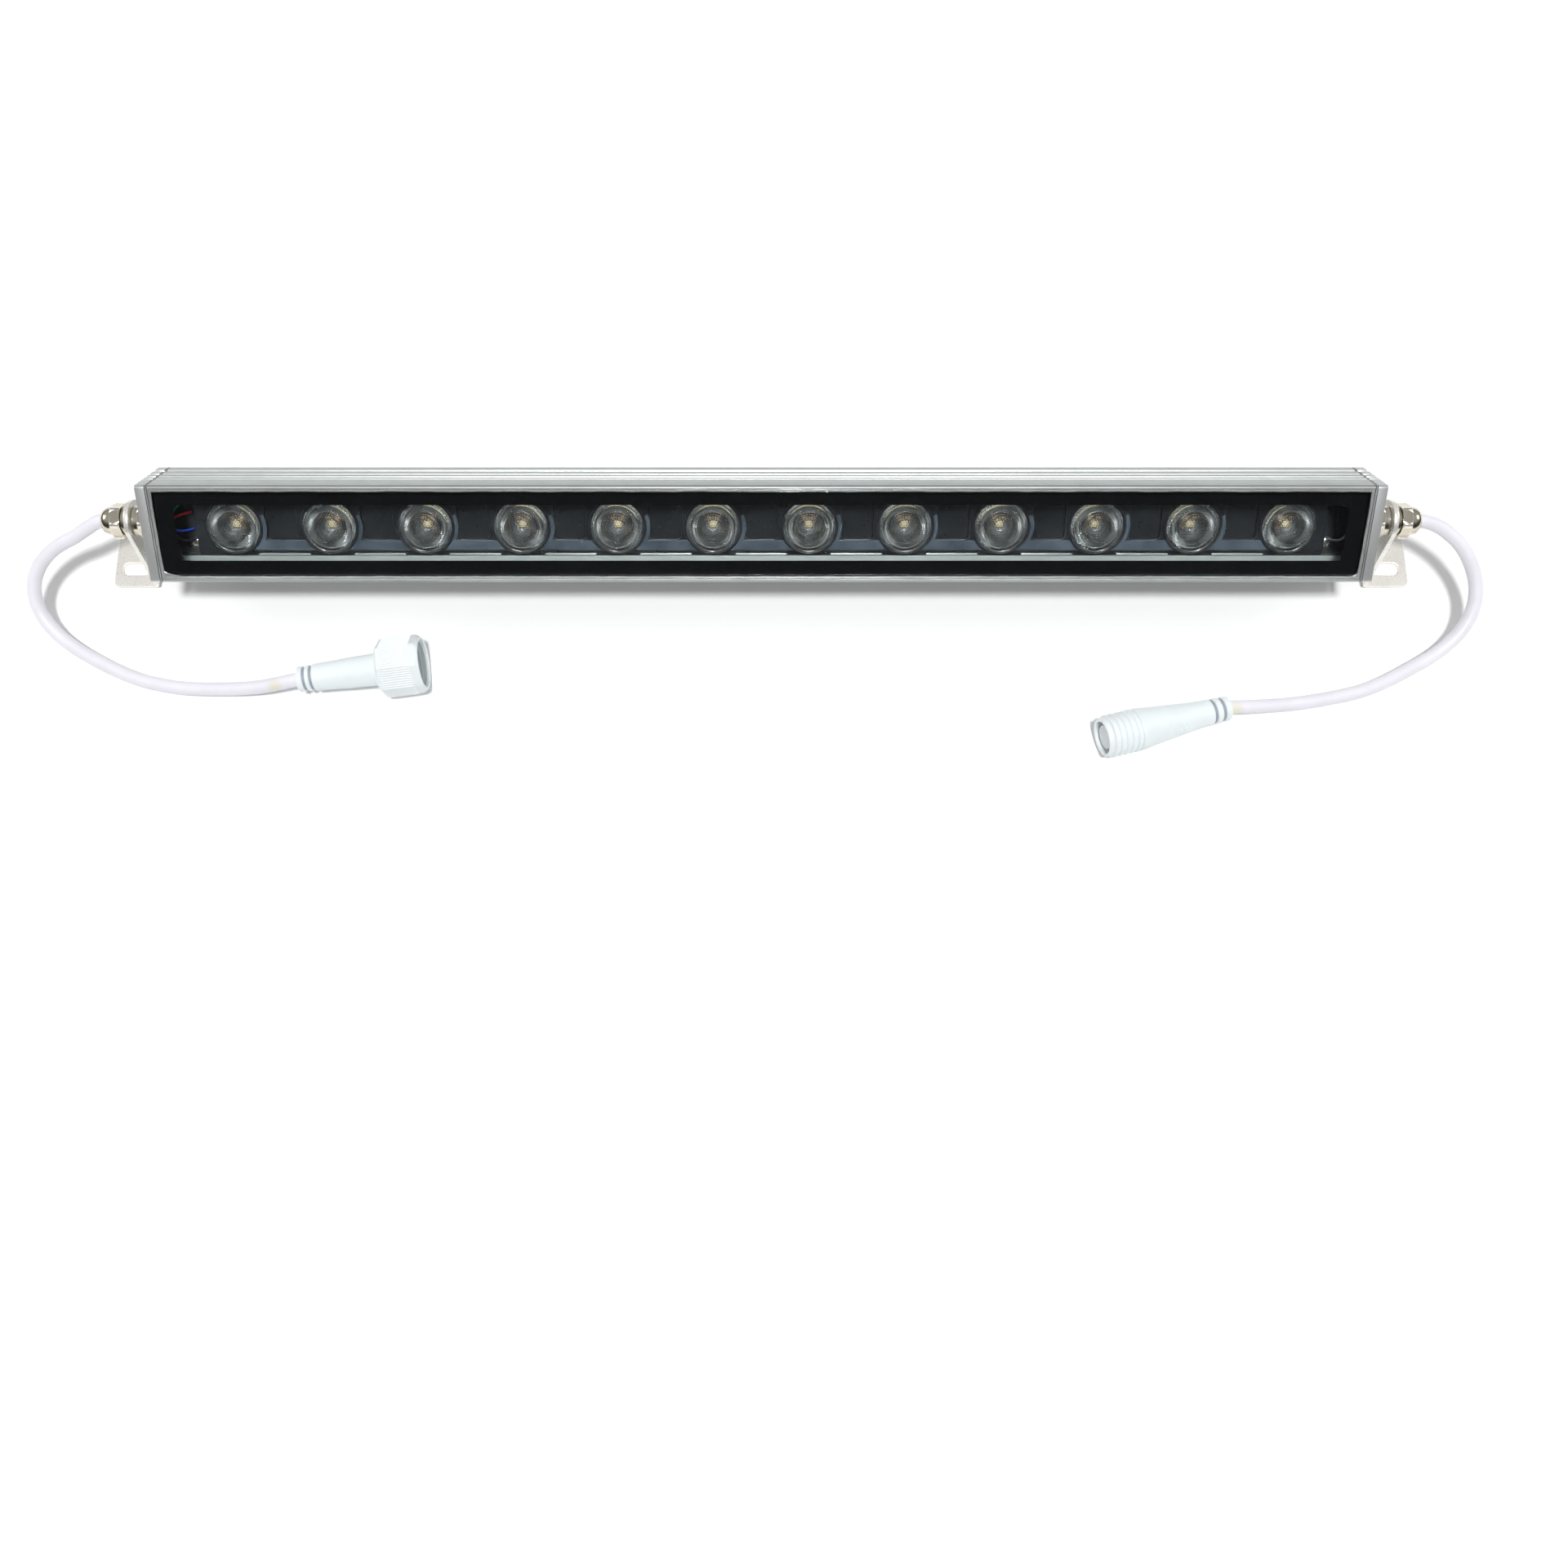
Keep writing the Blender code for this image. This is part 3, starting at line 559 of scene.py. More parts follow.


# ---- Painted shade in the channel ends -------------------------------------------------------
# Black sheets in each end of the channel, past the carrier, are painted shade: they stand in for
# the shadow that fills the window's ends. At the left end a short strip of the bright ledge is
# mitred and turned up.
end_shade_black = finish("black painted end shade", (0.012, 0.012, 0.013), 0.0, 0.75, mottle=0.2, depth=0.00004)
END_SHADE_BOXES = ((0.2432, 0.2484, -0.0118, 0.0118, -0.0032, -0.0028),
         (0.2362, 0.2484, 0.0115, 0.0119, -0.0028, 0.0066),
         (0.2362, 0.2484, -0.0119, -0.0115, -0.0028, 0.0066),
         (0.2482, 0.2486, -0.0157, -0.0052, -0.0028, 0.0160),
         (0.2482, 0.2486, 0.0052, 0.0157, -0.0028, 0.0160),
         (0.2482, 0.2486, -0.0052, 0.0052, 0.0052, 0.0160),
         (0.2364, 0.2484, 0.0119, 0.0158, 0.0070, 0.0074),
         (0.2440, 0.2484, -0.0158, -0.0119, 0.0070, 0.0074))
for side, word in ((-1.0, "left"), (1.0, "right")):
    bm = bmesh.new()
    for x0, x1, y0, y1, z0, z1 in END_SHADE_BOXES:
        corners = [bm.verts.new((side * x, y, z))
                   for x in (x0, x1) for y in (y0, y1) for z in (z0, z1)]
        for face in ((0, 1, 3, 2), (4, 6, 7, 5), (0, 4, 5, 1), (2, 3, 7, 6), (0, 2, 6, 4),
                     (1, 5, 7, 3)):
            bm.faces.new([corners[i] for i in face])
    in_bar("painted_end_shade_" + word, bm, end_shade_black)

ledge_look = finish("ledge return", (0.20, 0.215, 0.215), 0.8, 0.42, mottle=0.15)
RETURN = [(-0.2446, -0.0157), (-0.2423, -0.0157), (-0.2433, -0.0118), (-0.2439, -0.0080),
          (-0.2446, -0.0080)]
in_bar("ledge_return", plate([RETURN], 0.0075, 0.0079, 0.00008), ledge_look)


# ---- Lenses ----------------------------------------------------------------------------------
# Clear acrylic collimators, moulded with a beaded top that spreads the beam, one over each LED.
# The cone below turns stray light forward, and a notched flange sits in the carrier.
LENS_RINGS = 30
DOME_R = 0.0090
LENS_AROUND = 6 * LENS_RINGS
DOME_Z = 0.0080
DOME_RISE = 0.0011
BEAD_RISE = 0.00042
bm = bmesh.new()
rings = []
for k in range(LENS_RINGS + 1):
    r = DOME_R * k / LENS_RINGS
    ring = []
    for j in range(max(1, 6 * k)):
        angle = 2.0 * math.pi * j / max(1, 6 * k)
        inner = j % k if k else 0
        kind = (k % 3, inner % 3)
        bead = 1.0 if kind == (0, 0) else (0.0 if kind in ((1, 2), (2, 1)) else 0.62)
        if k == LENS_RINGS:
            bead = 0.0
        z = DOME_Z + DOME_RISE * (1.0 - (r / DOME_R) ** 2) + BEAD_RISE * bead
        ring.append(bm.verts.new((r * math.cos(angle), r * math.sin(angle), z)))
    rings.append(ring)
for k in range(1, LENS_RINGS + 1):
    outer, within = rings[k], rings[k - 1]
    for sector in range(6):
        for i in range(k):
            a = outer[sector * k + i]
            b = outer[(sector * k + i + 1) % (6 * k)]
            c = within[(sector * (k - 1) + i) % len(within)]
            bm.faces.new((a, b, c))
            if i < k - 1:
                d = within[(sector * (k - 1) + i + 1) % len(within)]
                bm.faces.new((c, b, d))
skirt = [(0.00912, 0.0077, 0.0), (0.0094, 0.0076, 0.0), (0.0095, 0.0079, 0.0003),
         (0.0101, 0.0079, 0.0003), (0.0102, 0.0076, 0.0), (0.0103, 0.0080, 0.0),
         (0.0106, 0.0081, 0.0), (0.0108, 0.0079, 0.0), (0.0108, 0.0070, 0.0),
         (0.0101, 0.0069, 0.0), (0.0088, 0.0050, 0.0), (0.0070, 0.0030, 0.0),
         (0.0042, 0.0005, 0.0), (0.0026, 0.0005, 0.0), (0.0024, 0.0030, 0.0),
         (0.0012, 0.0037, 0.0)]
last = rings[-1]
for radius, z, notch in skirt:
    ring = []
    for j in range(LENS_AROUND):
        angle = 2.0 * math.pi * j / LENS_AROUND
        drop = notch if j % 4 < 2 else 0.0
        ring.append(bm.verts.new((radius * math.cos(angle), radius * math.sin(angle), z - drop)))
    for j in range(LENS_AROUND):
        n = (j + 1) % LENS_AROUND
        bm.faces.new((last[j], ring[j], ring[n], last[n]))
    last = ring
tip = bm.verts.new((0.0, 0.0, 0.0038))
for j in range(LENS_AROUND):
    bm.faces.new((last[j], tip, last[(j + 1) % LENS_AROUND]))

acrylic = finish("clear acrylic lens", (0.95, 0.965, 0.97), 0.0, 0.015, mottle=0.02, spread=0.01,
                 IOR=1.49, Transmission_Weight=1.0)
lenses = in_row("beaded_lenses", bm, acrylic,
                ["lens_%02d" % n for n in range(1, LAMPS + 1)], smooth=60.0)
lenses.visible_shadow = False


# ---- Lead wires ------------------------------------------------------------------------------
# Thin flexible leads in coloured silicone, from each gland's bore to the pads at the board's ends.
# They loop up over the edge of the board, and each is soldered down by hand.
LEADS = (
    ("lead_green", "lead_wire_green", "wire_green", (0.01, 0.30, 0.13),
     ((-0.2516, 0.0009, 0.0009), (-0.2478, 0.0024, 0.0024), (-0.2448, 0.0066, 0.0040),
      (-0.2420, 0.0088, 0.0024), (-0.2395, 0.0092, -0.0004))),
    ("lead_red", "lead_wire_red", "wire_red", (0.50, 0.02, 0.03),
     ((-0.2516, 0.0009, -0.0009), (-0.2478, 0.0014, 0.0004), (-0.2448, 0.0032, 0.0032),
      (-0.2418, 0.0040, 0.0020), (-0.2395, 0.0042, -0.0004))),
    ("lead_blue", "lead_wire_blue", "wire_blue", (0.02, 0.06, 0.50),
     ((-0.2516, -0.0009, 0.0009), (-0.2478, -0.0014, 0.0022), (-0.2446, -0.0026, 0.0040),
      (-0.2416, -0.0030, 0.0022), (-0.2395, -0.0030, -0.0004))),
    ("lead_black", None, "wire_blue", (0.02, 0.02, 0.025),
     ((-0.2516, -0.0012, -0.0006), (-0.2476, -0.0040, 0.0016), (-0.2446, -0.0066, 0.0034),
      (-0.2412, -0.0074, 0.0022), (-0.2385, -0.0070, -0.0006))),
    ("lead_return_white", None, "wire_green", (0.13, 0.145, 0.14),
     ((0.2516, 0.0006, 0.0006), (0.2476, -0.0022, 0.0024), (0.2446, -0.0062, 0.0038),
      (0.2414, -0.0074, 0.0022), (0.2390, -0.0070, -0.0006))),
    ("lead_return_green", None, "wire_green", (0.02, 0.20, 0.12),
     ((0.2516, 0.0008, -0.0006), (0.2478, 0.0040, 0.0026), (0.2448, 0.0076, 0.0040),
      (0.2416, 0.0082, 0.0024), (0.2392, 0.0078, -0.0004))),
)


def lay_tube(name, route, radius, look, around=4, resolution=8):
    """A round tube on a smooth curve through the route, closed at both ends."""
    curve = bpy.data.curves.new(name, "CURVE")
    curve.dimensions = "3D"
    curve.bevel_depth = radius
    curve.bevel_resolution = around
    curve.resolution_u = resolution
    curve.use_fill_caps = True
    spline = curve.splines.new("BEZIER")
    spline.bezier_points.add(len(route) - 1)
    for knot, place in zip(spline.bezier_points, route):
        knot.co = place
        knot.handle_left_type = knot.handle_right_type = "AUTO"
    curve.materials.append(look)
    obj = bpy.data.objects.new(name, curve)
    bpy.context.scene.collection.objects.link(obj)
    return obj


for name, node, slot, colour, route in LEADS:
    look = finish(name + " insulation", colour, 0.0, 0.38, mottle=0.12, depth=0.00002)
    lead = lay_tube(name, [LEAN @ Vector(p) for p in route], 0.0005, look, 2)
    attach(lead, "housing")
    if node:
        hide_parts(node)


# ---- Front glass and its printed border ------------------------------------------------------
# A pane of 3 mm toughened glass with ground edges, dropped onto the ledge in the bar.
# A band of black enamel is fired onto its underside and hides the channel walls.
clear_glass = finish("toughened front glass", (0.93, 0.97, 0.965), 0.0, 0.015, mottle=0.01,
                     spread=0.01, IOR=1.46, Transmission_Weight=1.0)
bm = plate([rounded(box_loop(0.2480, 0.0180), 0.0006, 3)], 0.0165, 0.0197, 0.00025)
pane = in_bar("front_pane", bm, clear_glass, ["glass_cover"])
pane.visible_shadow = False
enamel_black = finish("black enamel", (0.0018, 0.0018, 0.0021), 0.0, 0.50, mottle=0.2,
                      Specular_IOR_Level=0.04)
band = plate([rounded(box_loop(0.2479, 0.0179), 0.0006, 3),
              rounded(box_loop(0.2406, 0.0118), 0.0006, 3)], 0.01643, 0.01649, 0.00002)
in_bar("enamel_border", band, enamel_black)


# ---- Sealant ---------------------------------------------------------------------------------
# Clear silicone gunned into the gap round the glass by hand and wiped, so its width wanders.
# It keeps the water out, and a small fillet of it is left in each lower corner.
clear_silicone = finish("clear silicone", (0.80, 0.83, 0.81), 0.0, 0.12, mottle=0.08,
                        grain=(500, 500, 500), depth=0.00006, Transmission_Weight=0.75, IOR=1.42)
SEAL_X = 0.2484
SEAL_Y = 0.0186
SEAL_STEP = 0.0024
edge_line = []
corner = [Vector(p) for p in box_loop(SEAL_X, SEAL_Y)]
for a, b in zip(corner, corner[1:] + corner[:1]):
    steps = max(2, round((b - a).length / SEAL_STEP))
    edge_line += [a.lerp(b, k / steps) for k in range(steps)]
bm = bmesh.new()
rings = []
for k, p in enumerate(edge_line):
    at_end = abs(abs(p.x) - SEAL_X) < 1e-6
    at_side = abs(abs(p.y) - SEAL_Y) < 1e-6
    out_way = Vector((math.copysign(at_end, p.x), math.copysign(at_side, p.y)))
    s = k * 0.37
    swell = 0.55 + 0.22 * math.sin(s) + 0.18 * math.sin(2.3 * s + 1.0) + 0.12 * math.sin(5.1 * s)
    width = 0.00045 + 0.00045 * max(0.0, swell)
    height = 0.00012 + 0.00014 * max(0.0, swell)
    shape = [(0.00052, 0.01930), (0.00052, 0.01990), (0.00020, 0.01990 + height),
             (-0.35 * width, 0.01985 + height), (-width, 0.01972), (-width, 0.01966)]
    rings.append([bm.verts.new((p.x + u * out_way.x, p.y + u * out_way.y, z)) for u, z in shape])
for near, far in zip(rings, rings[1:] + rings[:1]):
    bridge(bm, near, far)
in_bar("sealant_bead", bm, clear_silicone, ["glass_sealant"], 60.0)
for side, word, run, rise in ((-1.0, "left", 0.0105, 0.0028), (1.0, "right", 0.0050, 0.0022)):
    bm = bmesh.new()
    base = [(0.0, 0.0), (run, 0.0), (0.55 * run, 0.24 * rise), (0.2 * run, 0.6 * rise),
            (0.0, rise)]
    loops = []
    for z, shrink in ((0.01966, 1.0), (0.01985, 0.86), (0.01998, 0.5)):
        loops.append([bm.verts.new((side * (0.2481 - shrink * u), -0.0182 + shrink * v, z))
                      for u, v in base])
    for lower, upper in zip(loops, loops[1:]):
        bridge(bm, lower, upper)
    bm.faces.new(loops[0])
    bm.faces.new(loops[-1])
    in_bar("sealant_fillet_" + word, bm, clear_silicone, (), 60.0)


# ---- Cable glands ----------------------------------------------------------------------------
# Nickel plated brass glands turned from hexagon bar, screwed into the end caps on a rubber washer.
# The dome nut squeezes a rubber seal onto the cord, and a clamp ring holds the bracket's leg.
nickel = finish("nickel plate", (0.68, 0.63, 0.52), 1.0, 0.17, grain=(2600, 300, 300), mottle=0.10,
                depth=0.000012, spread=0.07, rub=(0.95, 0.93, 0.88))
seal_black = finish("gland seal rubber", (0.03, 0.03, 0.032), 0.0, 0.55, mottle=0.25, depth=0.00003)
HEX = 0.0068
THREAD_PITCH = 0.00075
BODY_SHAPE = [(0.2504, 0.0033), (0.2504, 0.0047), (0.2507, 0.0050), (0.2556, 0.0050),
              (0.2556, 0.0062), (0.2556, HEX, 6, 0.00700), (0.2561, HEX, 6, 0.00800),
              (0.2605, HEX, 6, 0.00800), (0.2610, HEX, 6, 0.00700), (0.2610, 0.0065),
              (0.2632, 0.0065), (0.2634, 0.0063), (0.2634, 0.0050)]
x = 0.2640
while x < 0.2714:
    BODY_SHAPE += [(x, 0.00500), (x + 0.00025, 0.00462), (x + 0.00050, 0.00462)]
    x += THREAD_PITCH
BODY_SHAPE += [(0.2716, 0.0046), (0.2716, 0.0033)]
NUT_SHAPE = [(0.2683, 0.00535), (0.2683, 0.0062), (0.2683, HEX, 6, 0.00700),
             (0.2688, HEX, 6, 0.00800), (0.2720, HEX, 6, 0.00800), (0.2725, HEX, 6, 0.00700),
             (0.2725, 0.0062), (0.2726, 0.0059), (0.2740, 0.0059), (0.2750, 0.0057),
             (0.2758, 0.0054), (0.2764, 0.0050), (0.2769, 0.0046), (0.2772, 0.0041),
             (0.2772, 0.0035), (0.2770, 0.0033), (0.2743, 0.0033), (0.2743, 0.00485),
             (0.27195, 0.00485), (0.27195, 0.00535)]
GLAND_PARTS = (
    ("gland_washer", [tuple(p) for p in rounded([(0.2543, 0.00535), (0.2543, 0.0086),
                                                 (0.2553, 0.0086), (0.2553, 0.00535)], 0.0003)],
     seal_black, "seal_rubber"),
    ("gland_body", BODY_SHAPE, nickel, "nickel_plated_brass"),
    ("gland_clamp_ring", [tuple(p) for p in rounded([(0.2660, 0.00535), (0.2660, 0.0060),
                                                     (0.2680, 0.0060), (0.2680, 0.00535)], 0.0002)],
     nickel, "nickel_plated_brass"),
    ("gland_seal", [tuple(p) for p in rounded([(0.2719, 0.0033), (0.2719, 0.0045),
                                               (0.2740, 0.0045), (0.2740, 0.0033)], 0.0002)],
     seal_black, "seal_rubber"),
    ("gland_dome_nut", NUT_SHAPE, nickel, "nickel_plated_brass"),
)
for side, word in ((-1.0, "left"), (1.0, "right")):
    for name, shape, look, slot in GLAND_PARTS:
        bm = turned([(side * p[0], *p[1:]) for p in shape], 96)
        node = name + "_" + word
        in_bar("turned_" + node, bm, look, [node])


# ---- Swivel brackets -------------------------------------------------------------------------
# Each is one piece of 2 mm stainless sheet, punched, then folded once; the leg hangs on the gland
# and can be turned round it, and the foot has two slots for screws. The edges are tumbled smooth.
LEG_IN = 0.2637
SHEET = 0.0020
BEND_R = 0.0025
FOOT_END = 0.2841
FOOT_HALF = 0.0162
FOOT_CORNER = 0.0025
LEG_TOP_R = 0.0090
SLOT_X = (0.2682, 0.2810)
SLOT_Y = 0.0079
SLOT_R = 0.0030
flat_end = FOOT_END - LEG_IN - SHEET / 2.0 - BEND_R
arc = BEND_R * math.pi / 2.0
axis_v = flat_end + arc + GLAND_AXIS.z - SHEET / 2.0 - BEND_R


def fold(u, v, offset, side):
    """Flat pattern to the folded sheet; v runs from the foot's outer edge up the leg."""
    if v <= flat_end:
        x, z, nx, nz = FOOT_END - v, SHEET / 2.0, 0.0, 1.0
    else:
        turn = min((v - flat_end) / BEND_R, math.pi / 2.0)
        x = LEG_IN + SHEET / 2.0 + BEND_R - BEND_R * math.sin(turn)
        z = SHEET / 2.0 + BEND_R - BEND_R * math.cos(turn) + max(0.0, v - flat_end - arc)
        nx, nz = math.sin(turn), math.cos(turn)
    return Vector((side * (x + offset * nx), u + GLAND_AXIS.y, z + offset * nz))


pattern = []
for cu, begin in ((FOOT_HALF - FOOT_CORNER, 0.0), (-FOOT_HALF + FOOT_CORNER, -0.5 * math.pi)):
    for k in range(9):
        angle = begin - 0.5 * math.pi * k / 8.0
        pattern.append((cu + FOOT_CORNER * math.cos(angle),
                        FOOT_CORNER + FOOT_CORNER * math.sin(angle)))
drop = axis_v - flat_end - arc
tangent = math.atan2(-drop, FOOT_HALF) + math.acos(LEG_TOP_R / math.hypot(FOOT_HALF, drop))
pattern.append((-FOOT_HALF, flat_end + arc))
for k in range(33):
    angle = math.pi - tangent - (math.pi - 2.0 * tangent) * k / 32.0
    pattern.append((LEG_TOP_R * math.cos(angle), axis_v + LEG_TOP_R * math.sin(angle)))
pattern.append((FOOT_HALF, flat_end + arc))
punched = [circle(0.0, axis_v, GLAND_HOLE, 48)]
for cu in (-SLOT_Y, SLOT_Y):
    loop = []
    for centre, begin in ((FOOT_END - SLOT_X[0] - SLOT_R, 0.0),
                          (FOOT_END - SLOT_X[1] + SLOT_R, math.pi)):
        for k in range(13):
            angle = begin + math.pi * k / 12.0
            loop.append((cu + SLOT_R * math.cos(angle), centre + SLOT_R * math.sin(angle)))
    punched.append(loop)
stainless = finish("tumbled stainless sheet", (0.93, 0.91, 0.85), 0.55, 0.30,
                   grain=(1500, 1500, 1500), mottle=0.05, spread=0.09, rub=(0.98, 0.97, 0.94))
for side, word in ((-1.0, "left"), (1.0, "right")):
    bm = plate([pattern] + punched, -SHEET / 2.0, SHEET / 2.0, 0.00018)
    for k in range(11):
        everything = bm.verts[:] + bm.edges[:] + bm.faces[:]
        bmesh.ops.bisect_plane(bm, geom=everything, dist=1e-7, plane_no=(0, 1, 0),
                               plane_co=(0, flat_end + arc * k / 10.0, 0))
    for vert in bm.verts:
        vert.co = fold(vert.co.x, vert.co.y, vert.co.z, side)
    fit(solid("folded_bracket_" + word, bm, stainless), "bracket_" + word,
        ["bracket_" + word])


# ---- Cords -----------------------------------------------------------------------------------
# Round flexible cord in a pale soft PVC jacket, pushed through each gland and pinched by its seal.
# It leaves the gland level, drops to the table in an easy curve and runs in to its connector.
PLUG_TAIL = Vector((-0.1967, -0.0591, 0.0099))
PLUG_MOUTH = Vector((-0.1433, -0.0528, 0.0128))
SOCKET_TAIL = Vector((0.1987, -0.0705, 0.0056))
SOCKET_MOUTH = Vector((0.1424, -0.0857, 0.0108))
CORD_R = 0.00295
CORD_STEP = 0.0075
LEFT_ROUTE = ((-0.2520, 0.0033, 0.0336), (-0.2785, 0.0033, 0.0336), (-0.2878, -0.0008, 0.0302),
              (-0.3020, -0.0064, 0.0248), (-0.3104, -0.0155, 0.0188), (-0.3113, -0.0260, 0.0117),
              (-0.3047, -0.0360, 0.0057), (-0.2909, -0.0457, 0.0032), (-0.2692, -0.0561, 0.0031),
              (-0.2498, -0.0604, 0.0031), (-0.2391, -0.0610, 0.0032), (-0.2264, -0.0614, 0.0044),
              (-0.2135, -0.0613, 0.0068))
RIGHT_ROUTE = ((0.2520, 0.0033, 0.0336), (0.2785, 0.0033, 0.0336), (0.2923, -0.0020, 0.0301),
               (0.3013, -0.0109, 0.0242), (0.3054, -0.0225, 0.0176), (0.3027, -0.0339, 0.0110),
               (0.2935, -0.0436, 0.0054), (0.2784, -0.0525, 0.0033), (0.2624, -0.0603, 0.0031),
               (0.2480, -0.0643, 0.0031), (0.2301, -0.0674, 0.0031), (0.2159, -0.0689, 0.0038))


def through(route, step):
    """Points along a smooth curve through the route; its first and last stretches stay straight."""
    knots = [Vector(point) for point in route]
    dense = []
    for a, b, c, d in zip(knots, knots[1:], knots[2:], knots[3:]):
        for k in range(16):
            t = k / 16.0
            dense.append(0.5 * (2.0 * b + (c - a) * t + (2.0 * a - 5.0 * b + 4.0 * c - d) * t * t
                                + (3.0 * b - a - 3.0 * c + d) * t * t * t))
    dense.append(knots[-2])
    run = [0.0]
    for a, b in zip(dense, dense[1:]):
        run.append(run[-1] + (b - a).length)
    count = max(2, round(run[-1] / step))
    picked = [knots[0]]
    for k in range(count + 1):
        want = run[-1] * k / count
        i = 0
        while i < len(run) - 2 and run[i + 1] < want:
            i += 1
        share = (want - run[i]) / max(run[i + 1] - run[i], 1e-9)
        picked.append(dense[i].lerp(dense[i + 1], min(share, 1.0)))
    return picked + [knots[-1]]


def aim(tail, mouth):
    """The connector's own frame: X from its tail to its mouth, no roll."""
    line = (mouth - tail).normalized()
    turn = Euler((0.0, -math.asin(line.z), math.atan2(line.y, line.x)))
    return Matrix.Translation(tail) @ turn.to_matrix().to_4x4(), line


def stain(mat, centre, reach, colour):
    """Old glue that crept out of a connector: a yellow patch that fades away from it."""
    tree = mat.node_tree
    shader = tree.nodes["Principled BSDF"]
    away = tree.nodes.new("ShaderNodeVectorMath")
    away.operation = "DISTANCE"
    feed(tree, away.inputs[0], grow(tree, "ShaderNodeTexCoord").outputs["Object"])
    feed(tree, away.inputs[1], centre)
    fade = grow(tree, "ShaderNodeMapRange", Value=away.outputs["Value"], From_Min=0.35 * reach,
                From_Max=reach, To_Min=0.55, To_Max=0.0)
    before = shader.inputs["Base Color"].links[0].from_socket
    feed(tree, shader.inputs["Base Color"],
         mixed(tree, fade.outputs["Result"], before, (*colour, 1.0)))


plug_frame, plug_line = aim(PLUG_TAIL, PLUG_MOUTH)
socket_frame, socket_line = aim(SOCKET_TAIL, SOCKET_MOUTH)
for word, route, tail, line, back, reach in (
        ("left", LEFT_ROUTE, PLUG_TAIL, plug_line, 0.0100, 0.0040),
        ("right", RIGHT_ROUTE, SOCKET_TAIL, socket_line, 0.0026, 0.0050)):
    jacket = finish("cord jacket " + word, (0.86, 0.85, 0.91), 0.0, 0.34, mottle=0.035,
                    grain=(700, 700, 700), depth=0.00004, Subsurface_Weight=0.12,
                    Subsurface_Radius=(0.002, 0.002, 0.002), Subsurface_Scale=0.3)
    stain(jacket, tail - back * line + Vector((0.0, -0.0022, 0.0010)), reach, (0.78, 0.73, 0.50))
    into_tail = (tuple(tail - 0.0012 * line), tuple(tail + 0.0019 * line))
    points = through(route + into_tail, CORD_STEP)
    cord = lay_tube("supply_cord_" + word, points, CORD_R, jacket, 8, 6)
    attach(cord, "housing")
    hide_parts("cord_" + word)


# ---- Plug and its coupling nut ---------------------------------------------------------------
# A moulded PVC plug with a grooved strain relief, a sleeve round four pins, and a loose octagonal
# nut with fine ribs that screws it to the next bar's socket.
# The PVC's last colour is painted shade on the groove floors of the plug and socket.
shell_white = finish("connector PVC", (0.86, 0.92, 0.94), 0.0, 0.33, mottle=0.03,
                     grain=(1200, 1200, 1200), depth=0.00003, rub=(0.9, 0.93, 0.94),
                     painted_shade=(0.36, 0.41, 0.48),
                     Subsurface_Weight=0.10, Subsurface_Radius=(0.002, 0.002, 0.002),
                     Subsurface_Scale=0.3)
PLUG_SHAPE = [(0.0022, 0.0), (0.0022, 0.00335), (0.0, 0.00335), (0.0, 0.0050), (0.0004, 0.0054),
              (0.0022, 0.0055), (0.0026, 0.0052), (0.0027, 0.0047), (0.0037, 0.0047),
              (0.0038, 0.0053), (0.0041, 0.0056), (0.0053, 0.0056), (0.0056, 0.0053),
              (0.0057, 0.0048), (0.0067, 0.0048), (0.0068, 0.0055), (0.0071, 0.0058),
              (0.0106, 0.0059), (0.0150, 0.0061), (0.0210, 0.0065), (0.0300, 0.0068),
              (0.0376, 0.0071), (0.0379, 0.0074), (0.0379, 0.0092), (0.0381, 0.0094),
              (0.0393, 0.0094), (0.0395, 0.0092), (0.0395, 0.0067), (0.0472, 0.0067),
              (0.0475, 0.0065), (0.0475, 0.0059), (0.0473, 0.0057), (0.0410, 0.0057),
              (0.0410, 0.0)]
GROOVE_FLOOR = 0.00485


def shade_grooves(bm, floors):
    """Mark the floors of the moulded grooves for painted shade, darker where their shadow falls."""
    painted_shade = bm.verts.layers.float.new("painted_shade")
    for vert in bm.verts:
        if any(low < vert.co.x < high for low, high in floors):
            vert[painted_shade] = 1.0 if math.hypot(vert.co.y, vert.co.z) < GROOVE_FLOOR else 0.0
    return bm


bm = shade_grooves(turned(PLUG_SHAPE, 72, False), ((0.0026, 0.00375), (0.0056, 0.00675)))
plug = solid("moulded_plug", bm, shell_white)
fit(plug, "housing", ["plug_body"], plug_frame, 40.0)
insert_white = finish("pin insert", (0.72, 0.77, 0.79), 0.0, 0.40, mottle=0.05, depth=0.00002)
bm = turned([(0.0413, 0.0), (0.0413, 0.0053), (0.0428, 0.0053), (0.0430, 0.0051), (0.0430, 0.0)],
            48, False)
fit(solid("plug_pin_block", bm, insert_white), "housing", ["plug_insert"],
    plug_frame)


def about_axis(tree, place, round_line):
    """Turn a flat round geometry to stand about the X axis, at the given place along it."""
    shift = grow(tree, "ShaderNodeCombineXYZ", X=place)
    return grow(tree, "GeometryNodeTransform", Geometry=round_line, Translation=shift.outputs[0],
                Rotation=(0.0, math.pi / 2.0, 0.0)).outputs["Geometry"]


